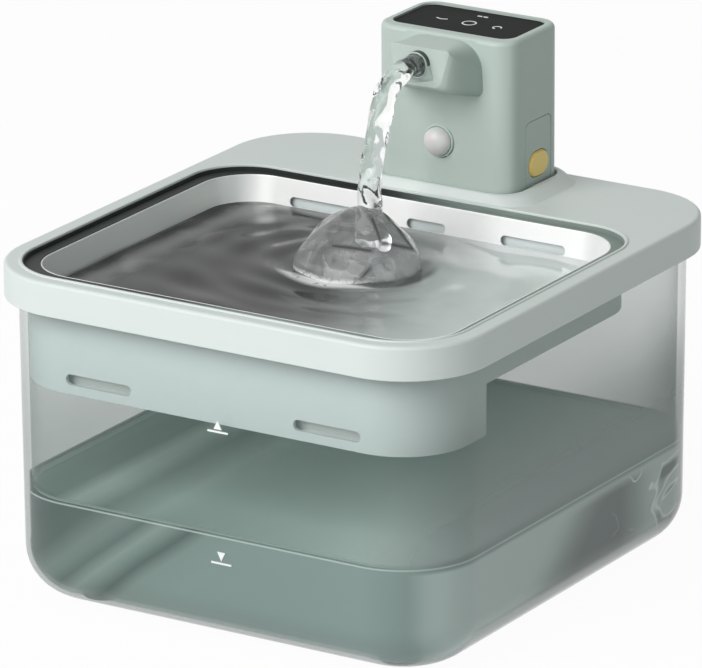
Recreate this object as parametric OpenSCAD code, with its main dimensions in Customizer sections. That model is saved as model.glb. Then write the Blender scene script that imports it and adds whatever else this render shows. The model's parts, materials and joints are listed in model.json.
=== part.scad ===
// Pet water fountain: a clear tank, a lift-off lid with a filter tray and a pump below it,
// a steel drinking bowl, and a plug-in power unit with a spout.
// The front is -Y and up is +Z. The origin is the middle of the footprint, on the surface it stands on.

/* [Lid] */
// Width of the lid, side to side
lid_w = 200; // [192:1:220]
// Depth of the lid, front to back
lid_d = 213.4; // [208:0.2:235]
// Corner radius of the lid seen from above
lid_corner_r = 33.2; // [31:0.2:38]
// Height of the band that hangs round the lid
band_h = 13; // [10:0.5:18]
// Wall thickness of the band
band_wall = 2.6; // [2:0.1:3.4]
// Thickness of the deck
deck_t = 2.5; // [2:0.1:4]
// Rounding of the lid's upper edge
lid_edge_r = 1.2; // [0.5:0.1:1.8]
// Width of deck left beside the bowl opening
side_lip = 7.5; // [6:0.1:10]
// Width of deck left in front of the bowl opening
front_lip = 6.2; // [5:0.1:10]
// Depth of deck behind the bowl opening
back_deck = 52; // [51:0.2:60]
// Corner radius of the opening, front
opening_front_r = 26; // [23:0.5:30]
// Corner radius of the opening, back
opening_back_r = 22; // [19:0.5:28]

/* [Tank] */
// How far the tank stands inside the edge of the lid
tank_inset = 4.4; // [4.2:0.1:6]
// Height of the tank from its underside to its rim
tank_h = 122.5; // [115:0.5:150]
// Wall thickness of the tank
tank_wall = 3; // [2.4:0.1:3.6]
// Corner radius of the tank seen from above
tank_corner_r = 31; // [29:0.5:34]
// Radius where the walls turn into the floor
tank_base_r = 18.9; // [12:0.1:21]
// Lean of the tank walls, in degrees
tank_draft = 0.4; // [0:0.05:0.5]
// Thickness of the ring between the tank rim and the lid
seal_t = 1; // [0.6:0.1:2]
// Radius of a foot
foot_r = 8; // [5:0.5:10]
// How far a foot stands below the tank
foot_h = 1.5; // [1:0.1:4]
// Height of the full mark above the tank's underside
full_mark_z = 83; // [70:1:84]
// Height of the low mark above the tank's underside
low_mark_z = 32.5; // [25:0.5:45]
// Length of a level mark's line
mark_w = 8.7; // [6:0.1:14]

/* [Filter tray] */
// Thickness of the tray's top plate
plate_t = 2.7; // [2.3:0.1:4]
// Depth of the ledge that carries the bowl
ledge_drop = 1.6; // [1.2:0.1:1.9]
// Wall thickness of the tray
tray_wall = 1.6; // [1.2:0.1:2]
// Gap between the tray and the tank's inner wall
tray_gap = 0.8; // [0.6:0.1:1.5]
// Corner radius of the tray, front
tray_front_r = 27; // [26:0.5:28]
// Depth of the shallow part below the top plate
shallow_depth = 19.5; // [18.8:0.1:24]
// Depth of the filter well below the shallow part
well_depth = 19.5; // [18:0.5:24]
// Filter well, front to back
well_d = 43.1; // [30:0.1:60]
// Length of a slot in the front of the well
well_slot_l = 28.4; // [15:0.1:40]
// Height of a slot in the front of the well
well_slot_h = 4.2; // [3:0.1:6]
// Distance of a well slot's centre from the middle
well_slot_x = 49; // [35:1:56]
// Height of a well slot's centre above the underside of the well
well_slot_z = 5.6; // [5:0.1:9]

/* [Filter] */
// Gap round the filter cartridge in its well
filter_gap = 0.6; // [0.4:0.1:1.5]
// Gap in front of the cartridge, where the filtered water reaches the slots
filter_front_gap = 2.6; // [2:0.1:4]
// Height of the cartridge
filter_h = 16; // [13:0.5:18]
// Wall of the cartridge's case
filter_wall = 1.2; // [0.8:0.1:2]
// Thickness of the cotton pad
cotton_t = 6; // [3:0.5:7]

/* [Bowl] */
// Black ring at each side of the bowl, from the opening to the steel
ring_side = 5.5; // [4:0.1:7]
// Black ring in front of the bowl
ring_front = 8.9; // [6:0.1:11]
// Black ring behind the bowl
ring_back = 3.2; // [2.6:0.1:5]
// How far the ring lies below the deck
ring_drop = 1.9; // [1.4:0.1:2.2]
// Corner radius of the bowl at its rim
bowl_corner_r = 20; // [18:0.5:24]
// Depth of the bowl
bowl_depth = 20.3; // [15:0.1:21]
// Thickness of the steel
steel_t = 0.6; // [0.5:0.1:0.9]
// Lean of the bowl's walls, in degrees
bowl_draft = 12; // [10:0.5:14]
// Radius where the bowl's walls turn into its floor
bowl_base_r = 8.6; // [6:0.1:9]
// Height of an overflow slot
overflow_h = 3.7; // [2.5:0.1:5]
// Length of the two outer overflow slots
overflow_l = 28; // [15:0.5:34]
// Length of the middle overflow slot
overflow_mid_l = 17; // [10:0.5:24]
// Distance of an outer overflow slot's centre from the middle
overflow_x = 46.5; // [34:0.5:50]
// Depth of the overflow slots' centres below the rim
overflow_z = 8.3; // [6:0.1:11]

/* [Power unit] */
// Width of the power unit
unit_w = 60; // [58:0.5:70]
// Depth of the power unit, front to back
unit_d = 38.9; // [36:0.1:42]
// Height of the power unit above the deck
unit_h = 62.1; // [62:0.1:75]
// Corner radius of the power unit seen from above
unit_corner_r = 8.5; // [7:0.1:10]
// Rounding of the power unit's top edge
unit_edge_r = 2; // [1.5:0.1:3]
// Wall thickness of the power unit
unit_wall = 2; // [1.6:0.1:2.2]
// Thickness of the power unit's top
unit_top_t = 3; // [2.6:0.1:4]
// Distance from the bowl opening to the front of the power unit
unit_setback = 6.3; // [5:0.1:10]
// Gap between the power unit and its socket
socket_gap = 1; // [0.6:0.1:1.5]
// Rim round the socket
socket_rim = 1.2; // [0.8:0.1:2]
// Height of the raised base round the socket
plinth_h = 3.5; // [1.5:0.1:5]
// Run of the raised base's slope at the sides and the back
plinth_run = 7; // [4:0.5:9]
// Thickness of the power unit's bottom plate
base_t = 3; // [2:0.1:4]

/* [Touch panel] */
// Width of the touch panel
panel_w = 53; // [48:0.2:56]
// Touch panel, front to back
panel_d = 30; // [24:0.5:30]
// Distance from the power unit's front to the touch panel
panel_setback = 5; // [4.2:0.1:5.4]
// Corner radius of the touch panel
panel_r = 5.5; // [3:0.5:7]
// Thickness of the touch panel
panel_t = 1.4; // [1:0.1:1.8]
// How far the touch panel lies below the top edge
panel_drop = 0.6; // [0.2:0.1:0.8]

/* [Spout] */
// How far the nose stands out of the power unit
nose_out = 17; // [10:0.5:18]
// Width of the nose at its top front edge
nose_top_w = 26.8; // [20:0.2:28]
// Width of the nose at its bottom front edge
nose_bottom_w = 17; // [14:0.5:20]
// Height of the nose's front
nose_h = 15.2; // [14:0.2:18]
// Distance from the power unit's top to the nose's top
nose_drop = 1; // [1:0.1:5]
// How far the outlet stands out of the nose
outlet_out = 2; // [2:0.5:6]
// Radius of the water outlet
outlet_r = 4.5; // [3.5:0.1:5]
// Wall of the outlet liner
liner_wall = 0.9; // [0.6:0.1:1.2]
// Depth of the outlet's centre below the power unit's top
outlet_z = 8.5; // [8.5:0.1:12]
// Outer radius of the water tube
tube_r = 4; // [3:0.1:4.4]
// Inner radius of the water tube
tube_bore_r = 2.8; // [2:0.1:2.9]
// Bend radius of the water tube's elbow
elbow_r = 8; // [7:0.5:9]
// Distance from the power unit's front to the upright water tube
tube_setback = 12; // [11.5:0.1:13]

/* [Sensor] */
// Sensor's centre, sideways from the middle
sensor_x = -1; // [-4:0.5:4]
// Height of the sensor's centre above the deck
sensor_z = 19.9; // [17:0.1:26]
// Outer radius of the sensor's ring
sensor_ring_r = 6.45; // [5:0.05:7]
// Radius of the sensor's lens
sensor_lens_r = 5.4; // [4.6:0.1:5.9]
// How far the lens bulges out
lens_out = 3.6; // [2:0.1:5]
// Radius of the shallow dish round the sensor
dish_r = 9; // [8:0.5:12]
// Depth of the dish
dish_depth = 0.7; // [0.3:0.1:1]

/* [Release button] */
// Distance from the power unit's front to the latch panel
latch_setback = 11.5; // [10:0.1:14]
// Width of the latch panel
latch_w = 18.4; // [17:0.1:20]
// Height of the latch panel's top above the deck
latch_top = 28.2; // [24:0.1:34]
// Length of the button
button_l = 13.2; // [10:0.1:13.6]
// Height of the button
button_h = 9.6; // [8:0.1:11]
// Height of the button's centre above the deck
button_z = 10.8; // [10:0.1:14]
// How far the button stands out
button_out = 0.8; // [0.5:0.1:1.5]
// Travel of the button
button_travel = 1.5; // [0.8:0.1:2]
// Gap round the button
button_gap = 0.3; // [0.2:0.05:0.5]

/* [Battery and boards] */
// Width of the battery
battery_w = 34; // [28:0.5:35]
// Thickness of the battery
battery_t = 10; // [7:0.5:10]
// Height of the battery
battery_h = 48; // [40:1:50]
// Thickness of a circuit board
board_t = 1.6; // [1:0.1:1.8]

/* [Pump] */
// Distance from the contacts to the pump's axis
pump_shift = 13.5; // [13:0.5:16]
// Width of the pump
pump_w = 37; // [36:0.5:44]
// Pump, front to back
pump_d = 34; // [32:0.5:38]
// Height of the pump's body
pump_h = 21; // [20:0.5:26]
// Height of the pump's underside above the surface the fountain stands on
pump_z = 19; // [14:0.5:22]
// Corner radius of the pump
pump_corner_r = 8; // [5:0.5:10]
// Radius of the pump's shaft
shaft_r = 1; // [0.8:0.1:1.2]
// Running clearance round the shaft
shaft_gap = 0.05; // [0.02:0.01:0.1]
// Radius of the rotor magnet
magnet_r = 5.6; // [4.5:0.1:5.8]
// Radius of the impeller
impeller_r = 9.5; // [8:0.1:10]
// Number of impeller blades
blade_count = 6; // [4:1:9]
// Distance from the pump's axis to the riser
riser_shift = 16; // [15.6:0.1:16.4]

/* [Hidden] */

$fn = 96;
eps = 0.01;
cut = 1;

// Heights, from the surface that the fountain stands on
tank_z = foot_h;
rim_z = tank_z + tank_h;
plate_z = rim_z + seal_t;
deck_z = plate_z + plate_t;
deck_top = deck_z + deck_t;
band_z = deck_top - band_h;
ledge_z = deck_z - ledge_drop;
shallow_z = plate_z - shallow_depth;
well_z = shallow_z - well_depth;
unit_top = deck_top + unit_h;

// Outlines seen from above: [left, right, front, back, front corner radius, back corner radius]
lid_plan = [-lid_w / 2, lid_w / 2, -lid_d / 2, lid_d / 2, lid_corner_r, lid_corner_r];
tank_plan = [lid_plan[0] + tank_inset, lid_plan[1] - tank_inset, lid_plan[2] + tank_inset,
    lid_plan[3] - tank_inset, tank_corner_r, tank_corner_r];
opening_y0 = lid_plan[2] + front_lip;
opening_y1 = lid_plan[3] - back_deck;
opening_plan = [lid_plan[0] + side_lip, lid_plan[1] - side_lip, opening_y0, opening_y1,
    opening_front_r, opening_back_r];
tray_inset = tank_wall + tray_gap;
tray_back_lip = 1.1;
tray_plan = [tank_plan[0] + tray_inset, tank_plan[1] - tray_inset, tank_plan[2] + tray_inset,
    opening_y1 - tray_back_lip, tray_front_r, opening_back_r];
well_back_r = 5;
well_plan = [tray_plan[0], tray_plan[1], tray_plan[2], tray_plan[2] + well_d, tray_front_r, well_back_r];
bowl_plan = [opening_plan[0] + ring_side - steel_t, opening_plan[1] - ring_side + steel_t,
    opening_y0 + ring_front - steel_t, opening_y1 - ring_back + steel_t,
    bowl_corner_r + steel_t, bowl_corner_r + steel_t];
unit_y0 = opening_y1 + unit_setback;
unit_plan = [-unit_w / 2, unit_w / 2, unit_y0, unit_y0 + unit_d, unit_corner_r, unit_corner_r];
panel_plan = [-panel_w / 2, panel_w / 2, unit_y0 + panel_setback, unit_y0 + panel_setback + panel_d,
    panel_r, panel_r];
window_inset = 8;
window_r = 2;
window_plan = [panel_plan[0] + window_inset, panel_plan[1] - window_inset, panel_plan[2] + window_inset,
    panel_plan[3] - window_inset, window_r, window_r];
filter_space = grow(well_plan, -tray_wall - filter_gap);
filter_plan = [filter_space[0], filter_space[1], filter_space[2] + filter_front_gap - filter_gap,
    filter_space[3], filter_space[4], filter_space[5]];
plan_facets = 32;

// The ring round the bowl
ring_top = deck_top - ring_drop;
ring_gap = 0.2;
ring_lip = 0.7;
flange_inset = 1;
flange_z = ring_top - ring_lip - steel_t;
bowl_rim_z = ring_top - 0.1;
bowl_z = bowl_rim_z - bowl_depth;

// The power unit's insides
tube_y = unit_y0 + tube_setback;
outlet_axis_z = unit_top - outlet_z;
liner_r = outlet_r + liner_wall;
liner_fit = 0.05;
nose_y = unit_y0 - nose_out;
outlet_y = nose_y - outlet_out;
base_gap = 0.1;
base_lift = 0.3;
base_top = deck_z + base_t;
shell_z = deck_z + base_lift;
inner_w = unit_w / 2 - unit_wall;
inner_front = unit_y0 + unit_wall;
inner_back = unit_y0 + unit_d - unit_wall;
screw_inset = 5.5;
boss_r = 3;
boss_h = 11;
screw_r = 1.1;
screw_head_r = 2;
screw_head_t = 1.2;
screw_l = 8;
screw_points = [for (x = [-unit_w / 2 + screw_inset + unit_wall, unit_w / 2 - screw_inset - unit_wall],
    y = [inner_front + boss_r + eps, inner_back - boss_r - eps]) [x, y]];
board_z = unit_top - unit_top_t - 2.9 - board_t;
board_inset = 3;
board_front = tube_y + tube_r + 2;
board_back = inner_back - 2.5;
standoff_x = inner_w - 6;
standoff_y = board_back - 3;
standoff_r = 2;
panel_z = unit_top - panel_drop - panel_t;
icon_setback = 14;
icon_y = panel_plan[2] + icon_setback;
sensor_axis_z = deck_top + sensor_z;
sensor_board_w = 18;
sensor_board_h = 14;
sensor_board_y = inner_front + 3;
sensor_post_r = 1.4;
sensor_post_x = sensor_board_w / 2 - 1.5;
lens_wall = 0.8;
lens_skirt = 2.4;

// The coupling under the power unit
spigot_l = 9.5;
spigot_top = base_top + 7.3;
spigot_gap = 0.25;
collar_r = 6.5;
collar_l = 15;
collar_z = plate_z - collar_l;
spigot_z = deck_z - spigot_l;
seal_groove_r = 5.6;
seal_groove_h = 2;
seal_groove_z = spigot_z + 3;
press_gap = 0.05;
flange_r = 6.5;
flange_t = 1.5;

// Contacts between the power unit and the lid
contact_inset = 5.5;
contact_x = -inner_w + contact_inset;
contact_pitch = 4;
contact_back = 7;
contact_y = tube_y + contact_back;
contact_r = 0.9;
pad_r = 1.3;
pad_t = 0.4;
block_w = 6;
block_l = 15;
block_h = 6.7;
duct_r = 3;
duct_bore_r = 2.2;

// The release button and its latch
latch_y0 = unit_y0 + latch_setback;
latch_y = latch_y0 + latch_w / 2;
latch_r = 2.5;
latch_gap = 0.2;
latch_back_t = 1;
latch_lap = 1.2;
button_axis_z = deck_top + button_z;
slider_t = 2;
slider_l = 12;
slider_lift = 0.3;
nose_tip_l = 8;
nose_tip_h = 2;
tip_gap = 0.3;
spring_wall_t = 1.4;
spring_coil_r = 2.6;
spring_wire_r = 0.3;
spring_turns = 4;
button_face_x = unit_w / 2 + button_out;
slider_gap = 0.3;
slider_x = inner_w - latch_back_t - slider_gap;
peg_r = 1.6;
spring_wall_gap = 0.3;

// Battery and charging socket
battery_y = tube_y + tube_r + 1.5;
bracket_t = 1.5;
bracket_gap = 2.1;
battery_x = contact_x + contact_r + bracket_gap + bracket_t + battery_w / 2;
spring_wall_x = battery_x + battery_w / 2 + spring_wall_gap;
bracket_floor = 3.8;
battery_z = base_top + bracket_floor;
socket_w = 9;
socket_h = 3.2;
socket_l = 6.2;
socket_skin = 0.35;
shelf_z = base_top + 5.3;
charge_board_t = 1.2;
charge_z = shelf_z + charge_board_t + socket_h / 2;
plug_w = 13;
plug_h = 7;
plug_t = 1;

// The pump
pump_x = contact_x - pump_shift;
pump_y = tube_y + 1;
riser_x = pump_x + riser_shift;
pump_cover_t = 3;
housing_z = pump_z + pump_cover_t;
housing_top = housing_z + pump_h;
pump_axis_inset = 13.5;
pump_left = pump_x - pump_axis_inset;
pump_plan = [pump_left, pump_left + pump_w, pump_y - pump_d / 2, pump_y + pump_d / 2,
    pump_corner_r, pump_corner_r];
volute_gap = 1.5;
volute_r = impeller_r + volute_gap;
volute_h = 6;
chamber_gap = 0.7;
chamber_r = magnet_r + chamber_gap;
chamber_roof = 1.5;
chamber_top = housing_top - chamber_roof;
coil_wall = 1;
coil_r0 = chamber_r + coil_wall;
coil_r1 = 10.5;
coil_floor = 2;
coil_z = housing_z + volute_h + coil_floor;
cap_t = 2;
riser_socket = 7;
riser_port_z = housing_top - riser_socket;
hub_r = 2.5;
blade_t = 1.2;
blade_h = 3.3;
disc_t = 1.4;
disc_gap = 0.6;
disc_z = housing_z + volute_h - disc_t - disc_gap;
rotor_gap = 0.2;
rotor_top = chamber_top - disc_gap;
inlet_r = 5;
inlet_hub_r = 2.2;
foam_r = 12;
foam_t = 1.3;
bend_r = -riser_x / 2;
bend_drop = 5;
bend_z = collar_z - bend_drop - 2 * bend_r;
riser_top = spigot_z - 0.5;

// Points on an arc about [cx, cz], from angle a0 to a1
function arc_points(cx, cz, r, a0, a1, n) =
    [for (i = [0:n]) let (a = a0 + (a1 - a0) * i / n) [cx + r * cos(a), cz + r * sin(a)]];

// An outline moved outwards by d, with its corners kept concentric
function grow(p, d) = [p[0] - d, p[1] + d, p[2] - d, p[3] + d, p[4] + d, p[5] + d];

// How far inside its rim a cup's wall has turned into its floor
function floor_inset(h, r, draft) = (r + (h - r) * sin(draft)) / cos(draft);

// Section through the wall of a cup of height h, with x = 0 at the rim's outer edge
function cup_section(h, r, wall, draft, n) =
    let (cx = -floor_inset(h, r, draft))
    concat(arc_points(cx, r, r, -90, -draft, n), [[0, h], [-wall / cos(draft), h]],
        arc_points(cx, r, r - wall, -draft, -90, n));

module plan(p) {
    translate([p[0], p[2] + p[4]]) square([p[1] - p[0], p[3] - p[2] - p[4] - p[5]]);
    translate([p[0] + p[4], p[2]]) square([p[1] - p[0] - 2 * p[4], p[4] + cut]);
    translate([p[0] + p[5], p[3] - p[5] - cut]) square([p[1] - p[0] - 2 * p[5], p[5] + cut]);
    translate([p[0] + p[4], p[2] + p[4]]) quarter(p[4], 180);
    translate([p[1] - p[4], p[2] + p[4]]) quarter(p[4], 270);
    translate([p[1] - p[5], p[3] - p[5]]) quarter(p[5], 0);
    translate([p[0] + p[5], p[3] - p[5]]) quarter(p[5], 90);
}

// A quarter of a disc between the angles a and a + 90
module quarter(r, a) {
    intersection() {
        circle(r);
        rotate(a) square(r + cut);
    }
}

// A slab with the given outline, from z0 to z1
module slab(p, z0, z1) {
    translate([0, 0, z0]) linear_extrude(z1 - z0) plan(p);
}

// Carries a section round an outline; the section's x is the distance outwards from it
module around(p) {
    run_x0 = p[1] - p[0] - 2 * p[4];
    run_x1 = p[1] - p[0] - 2 * p[5];
    run_y = p[3] - p[2] - p[4] - p[5];
    corner(p[1] - p[4], p[2] + p[4], p[4], -90) children();
    corner(p[1] - p[5], p[3] - p[5], p[5], 0) children();
    corner(p[0] + p[5], p[3] - p[5], p[5], 90) children();
    corner(p[0] + p[4], p[2] + p[4], p[4], 180) children();
    side(p[1], p[3] - p[5], 0, run_y) children();
    side(p[0] + p[5], p[3], 90, run_x1) children();
    side(p[0], p[2] + p[4], 180, run_y) children();
    side(p[1] - p[4], p[2], -90, run_x0) children();
}

module corner(x, y, r, a) {
    translate([x, y, 0]) rotate(a) rotate_extrude(angle = 90) translate([r, 0]) children();
}

module side(x, y, a, run) {
    translate([x, y, 0]) rotate(a) rotate([90, 0, 0]) linear_extrude(run) children();
}

// A cup with a rounded foot: walls carried round the outline, and a floor between them
module cup(p, z, h, r, wall, draft, n) {
    translate([0, 0, z]) {
        around(p) polygon(cup_section(h, r, wall, draft, n));
        linear_extrude(wall) plan(grow(p, -floor_inset(h, r, draft)));
    }
}

// A slot with round ends, l long and h high, in the X-Z plane, cut along Y from y0 to y1
module slot_y(x, z, l, h, y0, y1) {
    translate([x, y1, z]) rotate([90, 0, 0]) linear_extrude(y1 - y0) stadium(l, h);
}

// The same along X, with its length along Y
module slot_x(y, z, l, h, x0, x1) {
    translate([x0, y, z]) rotate([90, 0, 90]) linear_extrude(x1 - x0) stadium(l, h);
}

module stadium(l, h) {
    square([l - h, h], center = true);
    for (x = [-1, 1]) translate([x * (l - h) / 2, 0]) circle(h / 2);
}

module ring(ro, ri) {
    difference() {
        circle(ro);
        circle(ri);
    }
}

module pipe(x, y, z0, z1, ro, ri) {
    translate([x, y, z0]) linear_extrude(z1 - z0) ring(ro, ri);
}

module rod(x, y, z0, z1, r) {
    translate([x, y, z0]) cylinder(h = z1 - z0, r = r);
}

// A rod along Y from y0 to y1
module rod_y(x, z, y0, y1, r) {
    translate([x, y1, z]) rotate([90, 0, 0]) cylinder(h = y1 - y0, r = r);
}

// ---- Tank ----

module tank_shell() {
    color([0.62, 0.72, 0.69, 0.4])
        cup(tank_plan, tank_z, tank_h, tank_base_r, tank_wall, tank_draft, 10);
}

module tank_feet() {
    foot_x = tank_plan[1] - tank_corner_r;
    foot_y = tank_plan[3] - tank_base_r - foot_r - 1.5;
    color([0.3, 0.32, 0.32])
        for (x = [-foot_x, foot_x], y = [-foot_y, foot_y]) rod(x, y, 0, foot_h, foot_r);
}

// A line with a small pointer over it, on the front of the tank
module level_mark(x, z, up) {
    mark_t = 0.3;
    line_h = 0.7;
    pointer = 3.4;
    pointer_z = line_h / 2 + 0.6;
    face_y = tank_plan[2] + (tank_h - z - pointer_z - pointer) * tan(tank_draft);
    translate([x, face_y, tank_z + z]) rotate([90, 0, 0]) linear_extrude(mark_t) {
        square([mark_w, line_h], center = true);
        translate([0, pointer_z]) polygon(up
            ? [[-pointer / 2, 0], [pointer / 2, 0], [0, pointer]]
            : [[-pointer / 2, pointer], [0, 0], [pointer / 2, pointer]]);
    }
}

module level_marks() {
    color("white") {
        level_mark(5, full_mark_z, true);
        level_mark(5.7, low_mark_z, false);
    }
}

// ---- Lid ----

module lid_frame() {
    band = concat([[0, 0]], arc_points(-lid_edge_r, band_h - lid_edge_r, lid_edge_r, 0, 90, 5),
        [[-band_wall, band_h], [-band_wall, 0]]);
    socket_plan = grow(unit_plan, socket_gap);
    color([0.86, 0.91, 0.89]) {
        translate([0, 0, band_z]) around(lid_plan) polygon(band);
        difference() {
            union() {
                slab(grow(lid_plan, -band_wall), deck_z, deck_top);
                plinth();
            }
            slab(opening_plan, deck_z - cut, deck_top + cut);
            slab(socket_plan, deck_z - cut, deck_top + plinth_h + cut);
        }
    }
}

// The raised base round the socket, sloping down to the deck
module plinth() {
    top_plan = grow(unit_plan, socket_gap + socket_rim);
    front_run = min(plinth_run, top_plan[2] - opening_y1 - 0.5);
    foot_plan = [top_plan[0] - plinth_run, top_plan[1] + plinth_run, top_plan[2] - front_run,
        top_plan[3] + min(plinth_run, lid_plan[3] - top_plan[3] - band_wall - 0.5),
        top_plan[4] + front_run, top_plan[5] + front_run];
    hull($fn = plan_facets) {
        slab(top_plan, deck_top + plinth_h - eps, deck_top + plinth_h);
        slab(foot_plan, deck_top - eps, deck_top);
    }
}

module lid_seal() {
    color([0.25, 0.27, 0.27]) difference() {
        slab(tank_plan, rim_z, plate_z);
        slab(grow(tank_plan, -tank_wall), rim_z - cut, plate_z + cut);
    }
}

module filter_tray() {
    color([0.76, 0.86, 0.82]) difference() {
        union() {
            slab(tank_plan, plate_z, deck_z);
            slab(tray_plan, shallow_z, plate_z + eps);
            slab(well_plan, well_z, shallow_z + eps);
            rod(0, tube_y, collar_z, plate_z + eps, collar_r);
            contact_boss();
        }
        slab(opening_plan, ledge_z, deck_z + cut);
        slab(grow(tray_plan, -tray_wall), shallow_z + tray_wall, deck_z + cut);
        slab(grow(well_plan, -tray_wall), well_z + tray_wall, shallow_z + tray_wall + cut);
        for (x = [-well_slot_x, well_slot_x])
            slot_y(x, well_z + well_slot_z, well_slot_l, well_slot_h,
                well_plan[2] - cut, well_plan[2] + tray_wall + cut);
        rod(0, tube_y, collar_z - cut, spigot_z, tube_r + press_gap);
        rod(0, tube_y, spigot_z - eps, deck_z + cut, tube_r + spigot_gap);
        rod(0, tube_y, seal_groove_z, seal_groove_z + seal_groove_h, seal_groove_r);
        contact_pocket(block_h, deck_z + cut);
    }
}

module contact_boss() {
    boss_wall = 1.5;
    translate([contact_x - block_w / 2 - boss_wall, contact_y - block_l / 2 - boss_wall, deck_z - block_h])
        cube([block_w + 2 * boss_wall, block_l + 2 * boss_wall, block_h - plate_t + eps]);
}

module contact_pocket(depth, top) {
    translate([contact_x - block_w / 2, contact_y - block_l / 2, deck_z - depth - eps])
        cube([block_w, block_l, top - deck_z + depth + 2 * eps]);
}

module coupling_seal() {
    color([0.2, 0.2, 0.2]) pipe(0, tube_y, seal_groove_z, seal_groove_z + seal_groove_h,
        seal_groove_r, tube_r + press_gap);
}

module contact_block() {
    color([0.15, 0.16, 0.16]) difference() {
        translate([contact_x - block_w / 2, contact_y - block_l / 2, deck_z - block_h])
            cube([block_w, block_l, block_h]);
        for (i = [-1:1])
            rod(contact_x, contact_y + i * contact_pitch, deck_z - pad_t, deck_z + cut, pad_r);
        rod(contact_x, contact_y, deck_z - block_h - cut, deck_z - block_h + 3, duct_r + press_gap);
    }
}

module contact_pads() {
    color([0.85, 0.7, 0.35]) for (i = [-1:1])
        rod(contact_x, contact_y + i * contact_pitch, deck_z - pad_t, deck_z, pad_r);
}

module cable_duct() {
    color([0.82, 0.86, 0.85])
        pipe(contact_x, contact_y, housing_top, deck_z - block_h + 3, duct_r, duct_bore_r);
}

// The pipe from the pump to the coupling: up, across by two elbows, and up again
module riser_tube() {
    color([0.85, 0.88, 0.87]) {
        pipe(riser_x, tube_y, riser_port_z, bend_z, tube_r, tube_bore_r);
        translate([riser_x + bend_r, tube_y, bend_z]) rotate([90, 0, 0]) rotate(90)
            rotate_extrude(angle = 90) translate([bend_r, 0]) ring(tube_r, tube_bore_r);
        translate([riser_x + bend_r, tube_y, bend_z + 2 * bend_r]) rotate([90, 0, 0]) rotate(-90)
            rotate_extrude(angle = 90) translate([bend_r, 0]) ring(tube_r, tube_bore_r);
        pipe(0, tube_y, bend_z + 2 * bend_r, riser_top, tube_r, tube_bore_r);
    }
}

// ---- Pump ----

module pump_housing() {
    color([0.88, 0.9, 0.89]) difference() {
        slab(pump_plan, housing_z, housing_top);
        rod(pump_x, pump_y, housing_z - cut, housing_z + volute_h, volute_r);
        rod(pump_x, pump_y, housing_z + volute_h - eps, chamber_top, chamber_r);
        rod(pump_x, pump_y, chamber_top - eps, chamber_top + 1, shaft_r + eps);
        pipe(pump_x, pump_y, coil_z, housing_top + cut, coil_r1, coil_r0);
        rod(riser_x, tube_y, riser_port_z, housing_top + cut, tube_r + press_gap);
        rod(riser_x, tube_y, housing_z - cut, riser_port_z + eps, tube_bore_r);
        translate([pump_x, tube_y - tube_bore_r, housing_z - cut])
            cube([riser_x - pump_x, 2 * tube_bore_r, volute_h + cut]);
    }
}

module pump_cover() {
    spoke_w = 1.4;
    color([0.8, 0.84, 0.83]) difference() {
        slab(pump_plan, pump_z, housing_z);
        rod(pump_x, pump_y, pump_z - cut, pump_z + foam_t + 0.2, foam_r + 0.2);
        difference() {
            rod(pump_x, pump_y, pump_z, housing_z + cut, inlet_r);
            rod(pump_x, pump_y, pump_z, housing_z + 2 * cut, inlet_hub_r);
            for (a = [0:120:240]) translate([pump_x, pump_y, pump_z]) rotate(a)
                translate([0, -spoke_w / 2, 0]) cube([inlet_r + cut, spoke_w, pump_cover_t + cut]);
        }
        rod(pump_x, pump_y, pump_z + foam_t + 0.7, housing_z + cut, shaft_r + eps);
    }
}

module intake_foam() {
    color([0.2, 0.22, 0.22])
        rod(pump_x, pump_y, pump_z + 0.2, pump_z + 0.2 + foam_t, foam_r);
}

module stator_coil() {
    color([0.72, 0.45, 0.25])
        pipe(pump_x, pump_y, coil_z, housing_top - cap_t, coil_r1, coil_r0);
}

module coil_cap() {
    color([0.1, 0.1, 0.1])
        pipe(pump_x, pump_y, housing_top - cap_t, housing_top, coil_r1, coil_r0);
}

module impeller_shaft() {
    color([0.9, 0.9, 0.88])
        rod(pump_x, pump_y, pump_z + foam_t + 0.7, chamber_top + 1, shaft_r);
}

module impeller() {
    color([0.3, 0.45, 0.6]) difference() {
        union() {
            rod(pump_x, pump_y, housing_z + rotor_gap, rotor_top, hub_r);
            rod(pump_x, pump_y, disc_z, disc_z + disc_t, impeller_r);
            for (i = [0:blade_count - 1]) translate([pump_x, pump_y, disc_z - blade_h])
                rotate(i * 360 / blade_count) translate([hub_r - 0.5, -blade_t / 2, 0])
                    cube([impeller_r - hub_r, blade_t, blade_h + eps]);
        }
        rod(pump_x, pump_y, housing_z, rotor_top + cut, shaft_r + shaft_gap);
    }
}

module rotor_magnet() {
    color([0.18, 0.18, 0.2]) pipe(pump_x, pump_y, disc_z + disc_t, rotor_top, magnet_r, hub_r);
}

// ---- Bowl ----

module steel_bowl() {
    lean = (bowl_rim_z - flange_z) * tan(bowl_draft);
    flange_plan = grow(opening_plan, -flange_inset);
    color([0.8, 0.8, 0.79]) difference() {
        union() {
            cup(bowl_plan, bowl_z, bowl_depth, bowl_base_r, steel_t, bowl_draft, 8);
            difference() {
                slab(flange_plan, flange_z, flange_z + steel_t);
                slab(grow(bowl_plan, -lean - steel_t / 4), flange_z - cut, flange_z + steel_t + cut);
            }
        }
        for (s = [[-overflow_x, overflow_l], [0, overflow_mid_l], [overflow_x, overflow_l]])
            slot_y(s[0], bowl_rim_z - overflow_z, s[1], overflow_h,
                bowl_plan[3] - floor_inset(bowl_depth, bowl_base_r, bowl_draft), bowl_plan[3] + cut);
    }
}

module bowl_gasket() {
    color([0.07, 0.07, 0.07]) difference() {
        slab(grow(opening_plan, -ring_gap), ledge_z, ring_top);
        slab(grow(bowl_plan, press_gap), ledge_z - cut, ring_top + cut);
        slab(grow(opening_plan, -flange_inset + press_gap), flange_z, flange_z + steel_t);
    }
}

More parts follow.
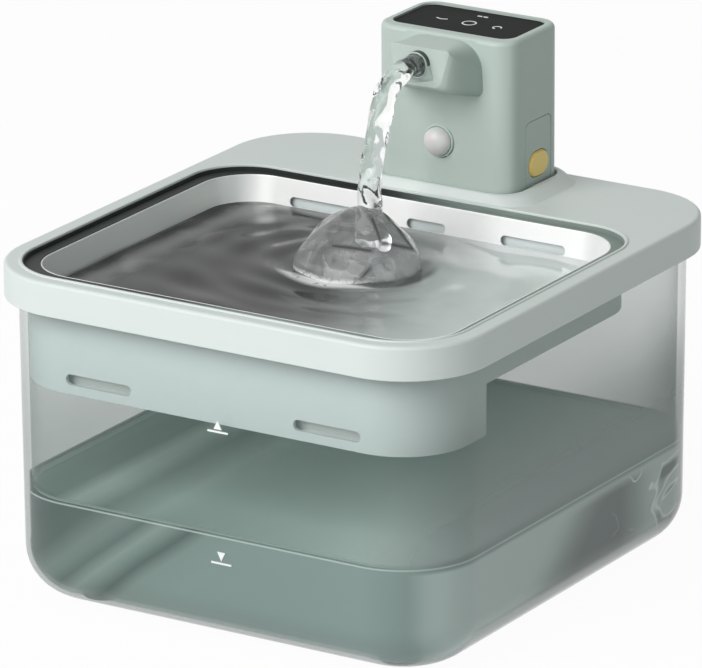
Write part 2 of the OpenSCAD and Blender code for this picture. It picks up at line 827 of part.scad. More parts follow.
// ---- Filter cartridge ----

filter_z = well_z + tray_wall;
grille_t = 1.2;
cotton_z = filter_z + filter_wall;
carbon_z = cotton_z + cotton_t;
grille_z = filter_z + filter_h - grille_t;
case_inner = grow(filter_plan, -filter_wall);
filter_slots = 11;
filter_slot_w = 3;

// A row of slots across the cartridge
module filter_openings(z0, z1) {
    pitch = (case_inner[1] - case_inner[0] - 2 * tray_front_r) / (filter_slots - 1);
    slot_margin = 5;
    for (i = [0:filter_slots - 1])
        translate([case_inner[0] + tray_front_r + i * pitch - filter_slot_w / 2,
            case_inner[2] + slot_margin, z0])
            cube([filter_slot_w, case_inner[3] - case_inner[2] - 2 * slot_margin, z1 - z0]);
}

module filter_case() {
    color([0.93, 0.94, 0.93]) difference() {
        slab(filter_plan, filter_z, grille_z);
        slab(case_inner, cotton_z, grille_z + cut);
        filter_openings(filter_z - cut, cotton_z + cut);
    }
}

module filter_cotton() {
    color([0.97, 0.97, 0.95]) slab(case_inner, cotton_z, carbon_z);
}

module filter_carbon() {
    color([0.12, 0.12, 0.12]) slab(case_inner, carbon_z, grille_z);
}

module filter_grille() {
    color([0.93, 0.94, 0.93]) difference() {
        slab(filter_plan, grille_z, grille_z + grille_t);
        filter_openings(grille_z - cut, grille_z + grille_t + cut);
    }
}

// ---- Power unit ----

// Section through the nose at a given half width, as a rounded trapezium in the X-Z plane
function nose_outline(top_w, bottom_w, h, r) =
    concat([[-top_w / 2, h], [-top_w / 2 + 0.8, h + 0.8], [top_w / 2 - 0.8, h + 0.8], [top_w / 2, h]],
        arc_points(bottom_w / 2 - r, r, r, 0, -90, 6),
        arc_points(-bottom_w / 2 + r, r, r, -90, -180, 6));

module nose_section(y, top_w, bottom_w, z0, h, r, t) {
    translate([0, y + t, z0]) rotate([90, 0, 0])
        linear_extrude(t) polygon(nose_outline(top_w, bottom_w, h, r));
}

module nose() {
    nose_z = unit_top - nose_drop - nose_h - 0.8;
    flare = 2.5;
    front_r = 4;
    hull() {
        nose_section(nose_y, nose_top_w, nose_bottom_w, nose_z, nose_h, front_r, eps);
        nose_section(unit_y0 + unit_wall - eps, nose_top_w + 2 * flare, nose_bottom_w + 2 * flare,
            nose_z - flare, nose_h + flare, front_r + 1, eps);
    }
    chin_w = 10;
    hull($fn = plan_facets) {
        rod_y(0, outlet_axis_z, outlet_y, outlet_y + eps, liner_r + 0.7);
        rod_y(0, outlet_axis_z, nose_y, nose_y + eps, liner_r + 1.2);
        translate([-chin_w / 2, nose_y, nose_z + 0.4]) cube([chin_w, eps, eps]);
    }
}

module unit_shell() {
    section = concat([[0, shell_z]],
        arc_points(-unit_edge_r, unit_top - unit_edge_r, unit_edge_r, 0, 90, 8),
        [[-unit_edge_r, unit_top - unit_top_t], [-unit_wall, unit_top - unit_top_t], [-unit_wall, shell_z]]);
    color([0.73, 0.82, 0.79]) difference() {
        union() {
            around(unit_plan) polygon(section);
            slab(grow(unit_plan, -unit_edge_r), unit_top - unit_top_t, unit_top);
            nose();
            for (p = screw_points) rod(p[0], p[1], base_top, base_top + boss_h, boss_r);
            for (x = [-standoff_x, standoff_x])
                rod(x, standoff_y, board_z + board_t, unit_top - unit_top_t + eps, standoff_r);
            for (x = [-sensor_post_x, sensor_post_x])
                rod_y(sensor_x + x, sensor_axis_z, inner_front - eps, sensor_board_y, sensor_post_r);
        }
        slab(grow(panel_plan, 0.15), panel_z, unit_top + cut);
        slab(window_plan, unit_top - unit_top_t - cut, unit_top);
        rod_y(0, outlet_axis_z, outlet_y - cut, inner_front + cut, liner_r + liner_fit);
        rod_y(sensor_x, sensor_axis_z, unit_y0 - cut, inner_front + eps, sensor_ring_r + liner_fit);
        dish();
        for (p = screw_points) rod(p[0], p[1], base_top - cut, base_top + screw_l, screw_r);
        latch_cut();
        slot_y(0, charge_z, socket_w + 0.3, socket_h + 0.3, inner_back - cut, unit_plan[3] + cut);
        slot_y(0, charge_z, plug_w + 0.3, plug_h + 0.3, unit_plan[3] - plug_t, unit_plan[3] + cut);
    }
}

// The shallow dish round the sensor, as the tip of a large ball
module dish() {
    ball_r = (dish_r * dish_r + dish_depth * dish_depth) / (2 * dish_depth);
    translate([sensor_x, unit_y0 - ball_r + dish_depth, sensor_axis_z]) sphere(ball_r, $fn = 128);
}

// The opening in the right wall that the latch panel fills
module latch_cut() {
    translate([inner_w - cut, 0, 0]) latch_outline(latch_gap, unit_wall + 2 * cut, shell_z - cut);
}

// An outline open at the bottom with rounded upper corners, thick t along X
module latch_outline(grow_by, t, z0) {
    top = deck_top + latch_top + grow_by;
    translate([0, latch_y, 0]) rotate([90, 0, 90]) linear_extrude(t) {
        for (s = [-1, 1]) translate([s * (latch_w / 2 + grow_by - latch_r), top - latch_r]) circle(latch_r);
        translate([-latch_w / 2 - grow_by + latch_r, top - 2 * latch_r])
            square([latch_w + 2 * grow_by - 2 * latch_r, 2 * latch_r]);
        translate([-latch_w / 2 - grow_by, z0]) square([latch_w + 2 * grow_by, top - latch_r - z0]);
    }
}

module latch_panel() {
    tip_z = base_top + slider_lift;
    back_w = latch_w + 2 * latch_lap;
    color([0.73, 0.82, 0.79]) difference() {
        union() {
            intersection() {
                translate([inner_w - eps, 0, 0]) latch_outline(0, unit_wall + eps, shell_z);
                slab(unit_plan, shell_z - cut, unit_top);
            }
            intersection() {
                translate([inner_w - latch_back_t, latch_y - back_w / 2, base_top])
                    cube([latch_back_t, back_w, deck_top + latch_top + latch_lap - base_top]);
                slab(grow(unit_plan, -unit_wall - eps), base_top - cut, unit_top);
            }
        }
        slot_x(latch_y, button_axis_z, button_l + 2 * button_gap, button_h + 2 * button_gap,
            inner_w - latch_back_t - cut, unit_w / 2 + cut);
        translate([inner_w - latch_back_t - cut, latch_y - nose_tip_l / 2 - tip_gap, tip_z - tip_gap])
            cube([unit_wall + latch_back_t + 2 * cut, nose_tip_l + 2 * tip_gap, nose_tip_h + 2 * tip_gap]);
    }
}

module release_button() {
    crown_t = 0.8;
    color([0.85, 0.69, 0.4]) {
        slot_x(latch_y, button_axis_z, button_l, button_h, slider_x, button_face_x - crown_t);
        translate([button_face_x - crown_t - eps, latch_y, button_axis_z]) rotate([90, 0, 90])
            linear_extrude(crown_t + eps) stadium(button_l - crown_t, button_h - crown_t);
    }
}

module latch_slider() {
    tip_reach = unit_w / 2 + socket_gap - 0.3;
    slider_z = base_top + slider_lift;
    color([0.9, 0.9, 0.88]) {
        translate([slider_x - slider_t, latch_y - slider_l / 2, slider_z])
            cube([slider_t, slider_l, button_axis_z + button_h / 2 - slider_z]);
        translate([slider_x - eps, latch_y - nose_tip_l / 2, slider_z])
            cube([tip_reach - slider_x + eps, nose_tip_l, nose_tip_h]);
    }
}

// A coil spring round the peg on the bottom plate's wall; the peg's end stops the button
module button_spring() {
    x0 = spring_wall_x + spring_wall_t;
    x1 = slider_x - slider_t;
    wire_sides = 6;
    steps = spring_turns * 14;
    pitch = (x1 - x0 - 2 * spring_wire_r) / steps;
    points = [for (i = [0:steps], j = [0:wire_sides - 1])
        let (a = i * 360 / 14, b = j * 360 / wire_sides, r = spring_coil_r + spring_wire_r * cos(b))
        [x0 + spring_wire_r + i * pitch + spring_wire_r * sin(b),
            latch_y + r * cos(a), button_axis_z + r * sin(a)]];
    last = steps * wire_sides;
    faces = concat(
        [[for (j = [0:wire_sides - 1]) j]],
        [for (i = [0:steps - 1], j = [0:wire_sides - 1])
            let (k = (j + 1) % wire_sides)
            [i * wire_sides + j, (i + 1) * wire_sides + j, (i + 1) * wire_sides + k, i * wire_sides + k]],
        [[for (j = [wire_sides - 1:-1:0]) last + j]]);
    color([0.75, 0.75, 0.75]) polyhedron(points, faces);
}

// The bottom plate, with a wall and a peg for the button's spring
module unit_base() {
    color([0.6, 0.68, 0.66]) difference() {
        union() {
            slab(grow(unit_plan, -unit_wall - base_gap), deck_z, base_top);
            translate([spring_wall_x, latch_y - slider_l / 2, base_top - eps])
                cube([spring_wall_t, slider_l, button_axis_z + button_h / 2 - base_top]);
            translate([spring_wall_x + eps, latch_y, button_axis_z]) rotate([0, 90, 0])
                cylinder(h = slider_x - slider_t - button_travel - 0.1 - spring_wall_x, r = peg_r);
        }
        rod(0, tube_y, deck_z - cut, base_top + cut, tube_r + press_gap);
        for (p = screw_points) {
            rod(p[0], p[1], deck_z - cut, base_top + cut, screw_r + 0.2);
            rod(p[0], p[1], deck_z - cut, deck_z + screw_head_t + 0.2, screw_head_r + 0.2);
        }
        for (i = [-1:1])
            rod(contact_x, contact_y + i * contact_pitch, deck_z - cut, base_top + cut,
                contact_r + press_gap);
    }
}

module base_screws() {
    color([0.7, 0.7, 0.7]) for (p = screw_points) {
        rod(p[0], p[1], deck_z + 0.2, deck_z + 0.2 + screw_head_t, screw_head_r);
        rod(p[0], p[1], deck_z + 0.2, base_top + screw_l - 1, screw_r);
    }
}

module contact_pins() {
    pin_top = base_top + 1;
    color([0.85, 0.7, 0.35]) for (i = [-1:1])
        rod(contact_x, contact_y + i * contact_pitch, deck_z, pin_top, contact_r);
}

module touch_panel() {
    color([0.1, 0.11, 0.11]) slab(panel_plan, panel_z, panel_z + panel_t);
}

// Plain marks on the touch panel: a wave, a ring, an arc, and a pair of dashes behind them
module panel_icons() {
    mark_t = 0.1;
    stroke = 0.6;
    icon_x = 0.8;
    icon_pitch = 12.2;
    icon_r = 2.9;
    arc_r = 1.9;
    dash = [1.9, 1];
    dash_back = 10;
    color("white") translate([icon_x, icon_y, panel_z + panel_t]) linear_extrude(mark_t) {
        ring(icon_r, icon_r - stroke);
        translate([-icon_pitch, 0]) for (s = [-1, 1]) translate([s * 2 * stroke, 0]) rotate(s * 20)
            square([icon_r - stroke / 2, stroke], center = true);
        translate([0, dash_back]) for (s = [-1, 1]) translate([s * (dash[0] + stroke) / 2, 0])
            square(dash, center = true);
        translate([icon_pitch, 0]) difference() {
            ring(arc_r, arc_r - stroke);
            translate([0, -icon_r]) square([icon_r, icon_r]);
        }
    }
}

module main_board() {
    color([0.1, 0.35, 0.25]) translate([-inner_w + board_inset, board_front, board_z])
        cube([2 * (inner_w - board_inset), board_back - board_front, board_t]);
}

module indicator_lights() {
    light = [1.6, 2.4, 1.4];
    light_pitch = 8;
    light_y = max(icon_y, board_front + board_t / 2);
    color([0.95, 0.95, 0.9]) for (i = [-1.5:1.5])
        translate([i * light_pitch - light[0] / 2, light_y, board_z + board_t]) cube(light);
}

module outlet_liner() {
    rear_t = 1.5;
    color([0.5, 0.58, 0.56]) {
        translate([0, inner_front, outlet_axis_z]) rotate([90, 0, 0])
            linear_extrude(inner_front - outlet_y) ring(liner_r, outlet_r);
        translate([0, inner_front, outlet_axis_z]) rotate([90, 0, 0])
            linear_extrude(rear_t) ring(outlet_r + eps, tube_bore_r);
    }
}

module spout_tube() {
    bend_y = tube_y - elbow_r;
    color([0.9, 0.92, 0.9]) {
        pipe(0, tube_y, spigot_top, outlet_axis_z - elbow_r, tube_r, tube_bore_r);
        translate([0, bend_y, outlet_axis_z - elbow_r]) rotate([90, 0, 90])
            rotate_extrude(angle = 90) translate([elbow_r, 0]) ring(tube_r, tube_bore_r);
        translate([0, bend_y, outlet_axis_z]) rotate([90, 0, 0])
            linear_extrude(bend_y - inner_front) ring(tube_r, tube_bore_r);
    }
}

module tube_connector() {
    color([0.85, 0.87, 0.86]) {
        pipe(0, tube_y, spigot_z, spigot_top, tube_r, tube_bore_r);
        pipe(0, tube_y, base_top, base_top + flange_t, flange_r, tube_r - eps);
    }
}

module sensor_ring() {
    ring_out = 0.5;
    color([0.8, 0.87, 0.84]) translate([sensor_x, inner_front, sensor_axis_z]) rotate([90, 0, 0])
        linear_extrude(unit_wall - dish_depth + ring_out) ring(sensor_ring_r, sensor_lens_r + liner_fit);
}

// A hollow dome with a short skirt
module sensor_lens() {
    n = 10;
    front_y = unit_y0 + dish_depth - 0.5;
    outer = [for (i = [0:n]) let (a = 90 * i / n) [sensor_lens_r * cos(a), lens_out * sin(a)]];
    inner = [for (i = [0:n]) let (a = 90 - 90 * i / n)
        [(sensor_lens_r - lens_wall) * cos(a), (lens_out - lens_wall) * sin(a)]];
    color([0.93, 0.93, 0.93]) translate([sensor_x, front_y, sensor_axis_z]) rotate([90, 0, 0])
        rotate_extrude() polygon(concat([[sensor_lens_r, -lens_skirt]], outer, inner,
            [[sensor_lens_r - lens_wall, -lens_skirt]]));
}

module sensor_element() {
    can_r = 4.1;
    can_l = 4;
    color([0.7, 0.7, 0.7]) rod_y(sensor_x, sensor_axis_z, sensor_board_y - can_l, sensor_board_y, can_r);
}

module sensor_board() {
    color([0.1, 0.35, 0.25])
        translate([sensor_x - sensor_board_w / 2, sensor_board_y, sensor_axis_z - sensor_board_h / 2])
            cube([sensor_board_w, board_t - 0.4, sensor_board_h]);
}

module battery_pack() {
    cell_r = battery_t / 2 - 0.1;
    cell = [battery_x - battery_w / 2, battery_x + battery_w / 2, battery_y, battery_y + battery_t,
        cell_r, cell_r];
    color([0.3, 0.5, 0.75]) slab(cell, battery_z, battery_z + battery_h);
}

// The battery's seat: a block on the bottom plate, a side lip, and a shelf behind for the charging board
module battery_bracket() {
    lip_h = 12;
    seat_y = max(battery_y, tube_y + flange_r + 0.3);
    shelf_y = battery_y + battery_t;
    shelf_w = 18;
    color([0.85, 0.87, 0.86]) translate([battery_x, 0, 0]) {
        translate([-battery_w / 2 - bracket_t, seat_y, base_top])
            cube([battery_w + bracket_t, shelf_y - seat_y, bracket_floor]);
        translate([-battery_w / 2 - bracket_t, seat_y, battery_z - eps])
            cube([bracket_t - press_gap, shelf_y - seat_y, lip_h]);
        translate([-shelf_w / 2, shelf_y - eps, base_top])
            cube([shelf_w, inner_back - 0.1 - shelf_y, shelf_z - base_top]);
    }
}

module charge_board() {
    board_w = 16;
    color([0.1, 0.35, 0.25]) translate([-board_w / 2, battery_y + battery_t + 0.2, shelf_z])
        cube([board_w, inner_back - 0.3 - battery_y - battery_t, charge_board_t]);
}

module charge_socket() {
    face_y = unit_plan[3] - plug_t;
    tongue_h = 0.7;
    color([0.75, 0.75, 0.76]) {
        difference() {
            slot_y(0, charge_z, socket_w, socket_h, face_y - socket_l, face_y);
            slot_y(0, charge_z, socket_w - 2 * socket_skin, socket_h - 2 * socket_skin,
                face_y - socket_l + socket_skin, face_y + cut);
        }
        translate([-3, face_y - socket_l, charge_z - tongue_h / 2]) cube([6, socket_l - 1, tongue_h]);
    }
}

module port_plug() {
    fit = socket_skin + 0.15;
    plug_l = 0.8;
    face_y = unit_plan[3] - plug_t;
    color([0.6, 0.68, 0.66]) {
        slot_y(0, charge_z, plug_w, plug_h, face_y, unit_plan[3]);
        slot_y(0, charge_z, socket_w - 2 * fit, socket_h - 2 * fit, face_y - plug_l, face_y + eps);
    }
}

tank_shell();
tank_feet();
level_marks();
lid_frame();
lid_seal();
filter_tray();
riser_tube();
cable_duct();
pump_housing();
pump_cover();
intake_foam();
stator_coil();
coil_cap();
impeller_shaft();
impeller();
rotor_magnet();
contact_block();
contact_pads();
coupling_seal();
steel_bowl();
bowl_gasket();
filter_case();
filter_cotton();
filter_carbon();
filter_grille();
unit_shell();
unit_base();
base_screws();
touch_panel();
panel_icons();
main_board();
indicator_lights();
outlet_liner();
spout_tube();
tube_connector();
sensor_ring();
sensor_lens();
sensor_element();
sensor_board();
latch_panel();
battery_pack();
battery_bracket();
charge_board();
charge_socket();
port_plug();
contact_pins();
release_button();
latch_slider();
button_spring();
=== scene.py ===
"""A countertop pet water fountain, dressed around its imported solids.

Each sub-assembly is a class: its sizes are dataclass fields in millimetres, and its methods work out
surfaces with numpy and give them procedural finishes. A CAD node whose shape is right keeps its mesh,
or is shown by a copy with eased edges. All of it stands in the frame's own coordinates.
"""

import json
import logging
import math
from dataclasses import dataclass, field, replace
from enum import Enum, IntEnum
from typing import Callable, Iterable, Mapping, Sequence

import bmesh
import bpy
import numpy as np
from mathutils import Matrix, Vector
from mathutils.geometry import delaunay_2d_cdt


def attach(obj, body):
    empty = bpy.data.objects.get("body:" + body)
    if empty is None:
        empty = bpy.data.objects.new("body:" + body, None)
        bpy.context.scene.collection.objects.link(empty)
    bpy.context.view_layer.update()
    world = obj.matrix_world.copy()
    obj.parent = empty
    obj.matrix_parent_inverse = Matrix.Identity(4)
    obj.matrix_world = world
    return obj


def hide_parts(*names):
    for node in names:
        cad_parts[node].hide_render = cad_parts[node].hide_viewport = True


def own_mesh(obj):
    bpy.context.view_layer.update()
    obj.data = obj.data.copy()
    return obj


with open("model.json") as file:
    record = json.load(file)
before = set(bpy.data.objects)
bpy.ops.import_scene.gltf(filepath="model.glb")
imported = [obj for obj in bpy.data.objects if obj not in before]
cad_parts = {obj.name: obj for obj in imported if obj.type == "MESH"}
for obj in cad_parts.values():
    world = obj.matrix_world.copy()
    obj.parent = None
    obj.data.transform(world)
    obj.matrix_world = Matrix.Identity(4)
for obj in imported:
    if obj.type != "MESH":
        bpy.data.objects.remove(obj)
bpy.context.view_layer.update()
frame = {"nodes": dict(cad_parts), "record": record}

log = logging.getLogger("fountain")

MM = 0.001
MERGE = 2e-6
SHARP = 38
FLAT = 0.6
Points = np.ndarray
Colour = tuple[float, float, float]
Piece = bpy.types.Object


class Ends(Enum):
    """What becomes of a grid's first and last rows."""

    OPEN = "open"
    CAPS = "caps"
    RING = "ring"


class Axis(IntEnum):
    """The axes, in order."""

    X = 0
    Y = 1
    Z = 2


class Body(str, Enum):
    """The bodies of the frame that new pieces ride on."""

    TANK = "tank"
    LID = "lid"
    BOWL = "bowl"
    UNIT = "power_unit"


def linear(red: float, green: float, blue: float) -> Colour:
    """Turns a display colour, 0 to 255, into the linear colour that a shader takes.

    Each channel c in 0..1 is ((c + 0.055) / 1.055) to the power 2.4, or c / 12.92 when it is dark.

    Args:
        red, green, blue: the display colour's channels.

    Returns:
        The linear colour.
    """
    c = np.array([red, green, blue]) / 255
    out = np.where(c > 0.04045, ((c + 0.055) / 1.055) ** 2.4, c / 12.92)
    return tuple(float(v) for v in out)


# ---- Outlines, profiles and skins ----


def unit(v: Points) -> Points:
    """Divides each vector along the last axis by its length."""
    return v / np.maximum(np.linalg.norm(v, axis=-1, keepdims=True), 1e-12)


def smooth(t: Points) -> Points:
    """The smooth step 3t^2 - 2t^3 of t, held to 0..1."""
    t = np.clip(t, 0, 1)
    return t * t * (3 - 2 * t)


def rounded(path: Sequence[Sequence[float]], closed: bool = False, steps: int = 6) -> Points:
    """Rounds a path's corners.

    An arc's centre lies on its corner's bisector, radius / sin(half the angle) away, and its points
    are the spherical mix of the two vectors from the centre to the tangent points.

    Args:
        path: rows of x, y and the corner's radius.
        closed: whether the last corner joins the first.
        steps: steps along each arc.

    Returns:
        The points, one row each.
    """
    rows = np.asarray(path, float)
    xy, r = rows[:, :2], rows[:, 2].copy()
    if not closed:
        r[[0, -1]] = 0
    a, b = unit(np.roll(xy, 1, 0) - xy), unit(np.roll(xy, -1, 0) - xy)
    half = np.arccos(np.clip((a * b).sum(1), -1, 1)) / 2
    half = np.clip(half, 1e-3, math.pi / 2 - 1e-5)[:, None]
    radius = r[:, None]
    centre = xy + unit(a + b) * radius / np.sin(half)
    from_a = xy + a * radius / np.tan(half) - centre
    from_b = xy + b * radius / np.tan(half) - centre
    turn = (math.pi - 2 * half)[:, None]
    t = np.linspace(0, 1, steps + 1)[None, :, None]
    arc = (np.sin((1 - t) * turn) * from_a[:, None] + np.sin(t * turn) * from_b[:, None]) / np.sin(turn)
    points = centre[:, None] + arc
    keep = np.ones(points.shape[:2], bool)
    sharp = r <= 0
    points[sharp] = xy[sharp][:, None]
    keep[sharp, 1:] = False
    return points[keep]


def circle(steps: int) -> Points:
    """Angles once round a circle, in equal steps."""
    return np.linspace(0, 2 * math.pi, steps, endpoint=False)


def paced(line: Points, count: int, closed: bool = False) -> Points:
    """Walks a line in equal steps, each point found by the line's length up to it.

    Args:
        line: the line's points, one row each.
        count: how many points to give.
        closed: whether the last point joins the first.

    Returns:
        The new points, one row each.
    """
    ring = np.concatenate([line, line[:1]]) if closed else line
    along = np.concatenate([[0], np.cumsum(np.linalg.norm(np.diff(ring, axis=0), axis=1))])
    at = np.linspace(0, along[-1], count, endpoint=not closed)
    return np.column_stack([np.interp(at, along, column) for column in ring.T])


@dataclass(frozen=True)
class Plan:
    """A rounded rectangle seen from above, in millimetres, with its front and back corner radii."""

    x0: float
    x1: float
    y0: float
    y1: float
    front: float
    back: float

    def grown(self, d: float) -> "Plan":
        """Moves the outline outwards by d, with its corners kept concentric."""
        return Plan(self.x0 - d, self.x1 + d, self.y0 - d, self.y1 + d, self.front + d, self.back + d)

    def loops(self, out: Points, steps: int = 12) -> Points:
        """Gives a loop of the outline for each distance outwards.

        A point is its corner's centre plus (corner radius + distance) times the unit vector at its angle.

        Args:
            out: distances outwards, one for each loop.
            steps: steps round each corner.

        Returns:
            An array of loops by points by 2.
        """
        f, b = self.front, self.back
        centres = np.array([[self.x1 - f, self.y0 + f], [self.x1 - b, self.y1 - b],
                            [self.x0 + b, self.y1 - b], [self.x0 + f, self.y0 + f]])
        radii = np.array([f, b, b, f])
        angles = np.radians(np.array([-90, 0, 90, 180])[:, None] + np.linspace(0, 90, steps + 1))
        units = np.stack([np.cos(angles), np.sin(angles)], -1)
        reach = radii[None, :, None, None] + np.asarray(out, float)[:, None, None, None]
        return (centres[None, :, None] + reach * units[None]).reshape(len(out), -1, 2)

    def carry(self, profile: Points, steps: int = 12) -> Points:
        """Carries a profile round the outline.

        Args:
            profile: rows of distance outwards and height.
            steps: steps round each corner.

        Returns:
            A grid of rows by points by 3.
        """
        loops = self.loops(profile[:, 0], steps)
        heights = np.broadcast_to(profile[:, 1][:, None, None], loops.shape[:2] + (1,))
        return np.concatenate([loops, heights], -1)


class Skin:
    """Gathers the grids and flat fills of one piece and makes them one mesh object."""

    def __init__(self, name: str) -> None:
        """Starts an empty skin.

        Args:
            name: the piece's name.
        """
        self.name = name
        self.points: list[Points] = []
        self.faces: list[list[int]] = []
        self.count = 0
        self.mark: Points | None = None

    def add(self, points: Points, faces: Iterable[Sequence[int]]) -> "Skin":
        """Adds points and faces.

        Args:
            points: an array whose last axis is x, y and z.
            faces: each face's points, counted from the first of them.

        Returns:
            The skin itself.
        """
        self.faces += [[int(i) + self.count for i in face] for face in faces]
        self.points.append(points.reshape(-1, 3))
        self.count += len(self.points[-1])
        return self

    def grid(self, points: Points, ends: Ends = Ends.OPEN) -> "Skin":
        """Adds a surface whose last column joins the first.

        Args:
            points: an array of rows by columns by 3.
            ends: whether its end rows stay open, are capped or are joined to each other.

        Returns:
            The skin itself.
        """
        m, n = points.shape[:2]
        i, j = np.meshgrid(np.arange(m - 1) * n, np.arange(n), indexing="ij")
        k = (j + 1) % n
        self.add(points, np.stack([i + j, i + k, i + n + k, i + n + j], -1).reshape(-1, 4))
        if ends is Ends.CAPS:
            self.cap(points[0]).cap(points[-1])
        elif ends is Ends.RING:
            self.grid(points[[-1, 0]])
        return self

    def cap(self, loop: Points) -> "Skin":
        """Closes a flat loop of points with one face."""
        return self.add(loop, [range(len(loop))])

    def sheet(self, outer: Points, holes: Sequence[Points], z: float) -> "Skin":
        """Fills a flat outline around its holes by a constrained Delaunay triangulation.

        A triangle with all three corners on one hole lies inside it, because holes are convex,
        and is dropped.

        Args:
            outer: the outer loop, points by 2.
            holes: the loops of the holes.
            z: the height of the fill.

        Returns:
            The skin itself.
        """
        loops = [outer, *holes]
        points, sizes = np.concatenate(loops), [len(loop) for loop in loops]
        label = np.repeat(np.arange(len(loops)), sizes)
        runs = np.split(np.arange(len(points)), np.cumsum(sizes)[:-1])
        edges = np.concatenate([np.stack([run, np.roll(run, -1)], -1) for run in runs])
        made = delaunay_2d_cdt([Vector(p) for p in points], edges.tolist(), [], 1, 1e-5, True)
        flat = np.array([tuple(v) for v in made[0]])
        owner = label[np.array([ids[0] for ids in made[3]])]
        faces = [f for f in made[2] if owner[f[0]] == 0 or len({int(owner[i]) for i in f}) > 1]
        return self.add(np.column_stack([flat, np.full(len(flat), z)]), faces)

    def build(self, sharp: float = SHARP, soft: bool = True) -> Piece:
        """Makes the mesh object at the origin: doubles merged, normals outwards, shaded smooth.

        Args:
            sharp: degrees past which an edge stays sharp.
            soft: whether normals are weighted by the faces' areas.

        Returns:
            The object.
        """
        mesh = bpy.data.meshes.new(self.name)
        mesh.from_pydata((np.concatenate(self.points) * MM).tolist(), [], self.faces)
        if self.mark is not None:
            mesh.attributes.new("fold", "FLOAT", "POINT").data.foreach_set("value", self.mark.ravel())
        tidy = bmesh.new()
        tidy.from_mesh(mesh)
        bmesh.ops.remove_doubles(tidy, verts=tidy.verts, dist=MERGE)
        bmesh.ops.dissolve_degenerate(tidy, edges=tidy.edges, dist=MERGE)
        bmesh.ops.recalc_face_normals(tidy, faces=tidy.faces)
        tidy.to_mesh(mesh)
        tidy.free()
        piece = placed(self.name, mesh, sharp)
        if soft:
            even_normals(piece)
        return piece


def placed(name: str, mesh: bpy.types.Mesh, sharp: float = SHARP) -> Piece:
    """Puts a mesh in the scene, shaded smooth up to an angle.

    Args:
        name: the object's name.
        mesh: its mesh.
        sharp: degrees past which an edge stays sharp.

    Returns:
        The object.
    """
    mesh.shade_smooth()
    mesh.set_sharp_from_angle(angle=math.radians(sharp))
    piece = bpy.data.objects.new(name, mesh)
    bpy.context.scene.collection.objects.link(piece)
    return piece


def even_normals(piece: Piece) -> None:
    """Weights the piece's normals by its faces' areas."""
    piece.modifiers.new("even_normals", "WEIGHTED_NORMAL").keep_sharp = True


def carve(piece: Piece, cutters: Sequence[Piece]) -> None:
    """Cuts cutters out of a piece, and removes them and the piece's modifiers.

    Args:
        piece: the closed piece.
        cutters: closed objects.
    """
    piece.modifiers.clear()
    for cutter in cutters:
        cut = piece.modifiers.new("cut", "BOOLEAN")
        cut.operation, cut.solver, cut.object = "DIFFERENCE", "EXACT", cutter
    bpy.context.view_layer.update()
    graph = bpy.context.evaluated_depsgraph_get()
    mesh = bpy.data.meshes.new_from_object(piece.evaluated_get(graph))
    piece.modifiers.clear()
    piece.data = mesh
    for cutter in cutters:
        bpy.data.objects.remove(cutter)
    mesh.set_sharp_from_angle(angle=math.radians(SHARP))


def stadium(length: float, height: float) -> Points:
    """A slot's outline with round ends, about the origin."""
    l, h = length / 2, height / 2
    return rounded([(-l, -h, h - 0.01), (l, -h, h - 0.01), (l, h, h - 0.01), (-l, h, h - 0.01)], True, 8)


def prism(name: str, outline: Points, low: float, high: float) -> Piece:
    """A closed object: a flat outline, points of x and z, carried along Y from low to high."""
    rows = [np.insert(outline, 1, at, axis=1) for at in (low, high)]
    return Skin(name).grid(np.stack(rows), Ends.CAPS).build(soft=False)


def turned(profile: Points, centre: Sequence[float], steps: int = 64) -> Points:
    """Turns a profile about a line along Y: the centre plus radius times (cos a, 0, sin a) plus y.

    Args:
        profile: rows of radius and y, y measured from the centre.
        centre: x, y, z of a point on the line.
        steps: points round the line.

    Returns:
        A grid of rows by steps by 3.
    """
    a = circle(steps)
    r, y = profile[:, 0][:, None], profile[:, 1][:, None]
    return np.stack([centre[0] + r * np.cos(a), centre[1] + y + 0 * a, centre[2] + r * np.sin(a)], -1)


# ---- Shader building ----


def math_method(operation: str, swapped: bool = False) -> Callable[..., "Value"]:
    """Makes a method of Value that adds a Math node of the value and another one.

    Args:
        operation: the node's operation.
        swapped: whether the other value comes first.

    Returns:
        The method.
    """

    def method(self: "Value", other: object = 0.0) -> "Value":
        """The operation's result."""
        pair = (other, self) if swapped else (self, other)
        return self.nodes.node("ShaderNodeMath", {"operation": operation}, dict(enumerate(pair)))

    return method


class Value:
    """An output socket that can be written in sums and products."""

    __add__, __radd__ = math_method("ADD"), math_method("ADD", True)
    __sub__, __rsub__ = math_method("SUBTRACT"), math_method("SUBTRACT", True)
    __mul__, __rmul__ = math_method("MULTIPLY"), math_method("MULTIPLY", True)
    __pow__, size = math_method("POWER"), math_method("ABSOLUTE")
    wave, most = math_method("SINE"), math_method("MAXIMUM")

    def __init__(self, nodes: "Nodes", socket: bpy.types.NodeSocket | None) -> None:
        """Keeps the socket and the nodes it belongs to."""
        self.nodes = nodes
        self.socket = socket

    def span(self, low: float, high: float, to_low: float = 0.0, to_high: float = 1.0) -> "Value":
        """Eases self from to_low at low to to_high at high, and holds it outside."""
        return self.nodes.node("ShaderNodeMapRange", {"interpolation_type": "SMOOTHSTEP"},
                               {0: self, 1: low, 2: high, 3: to_low, 4: to_high})


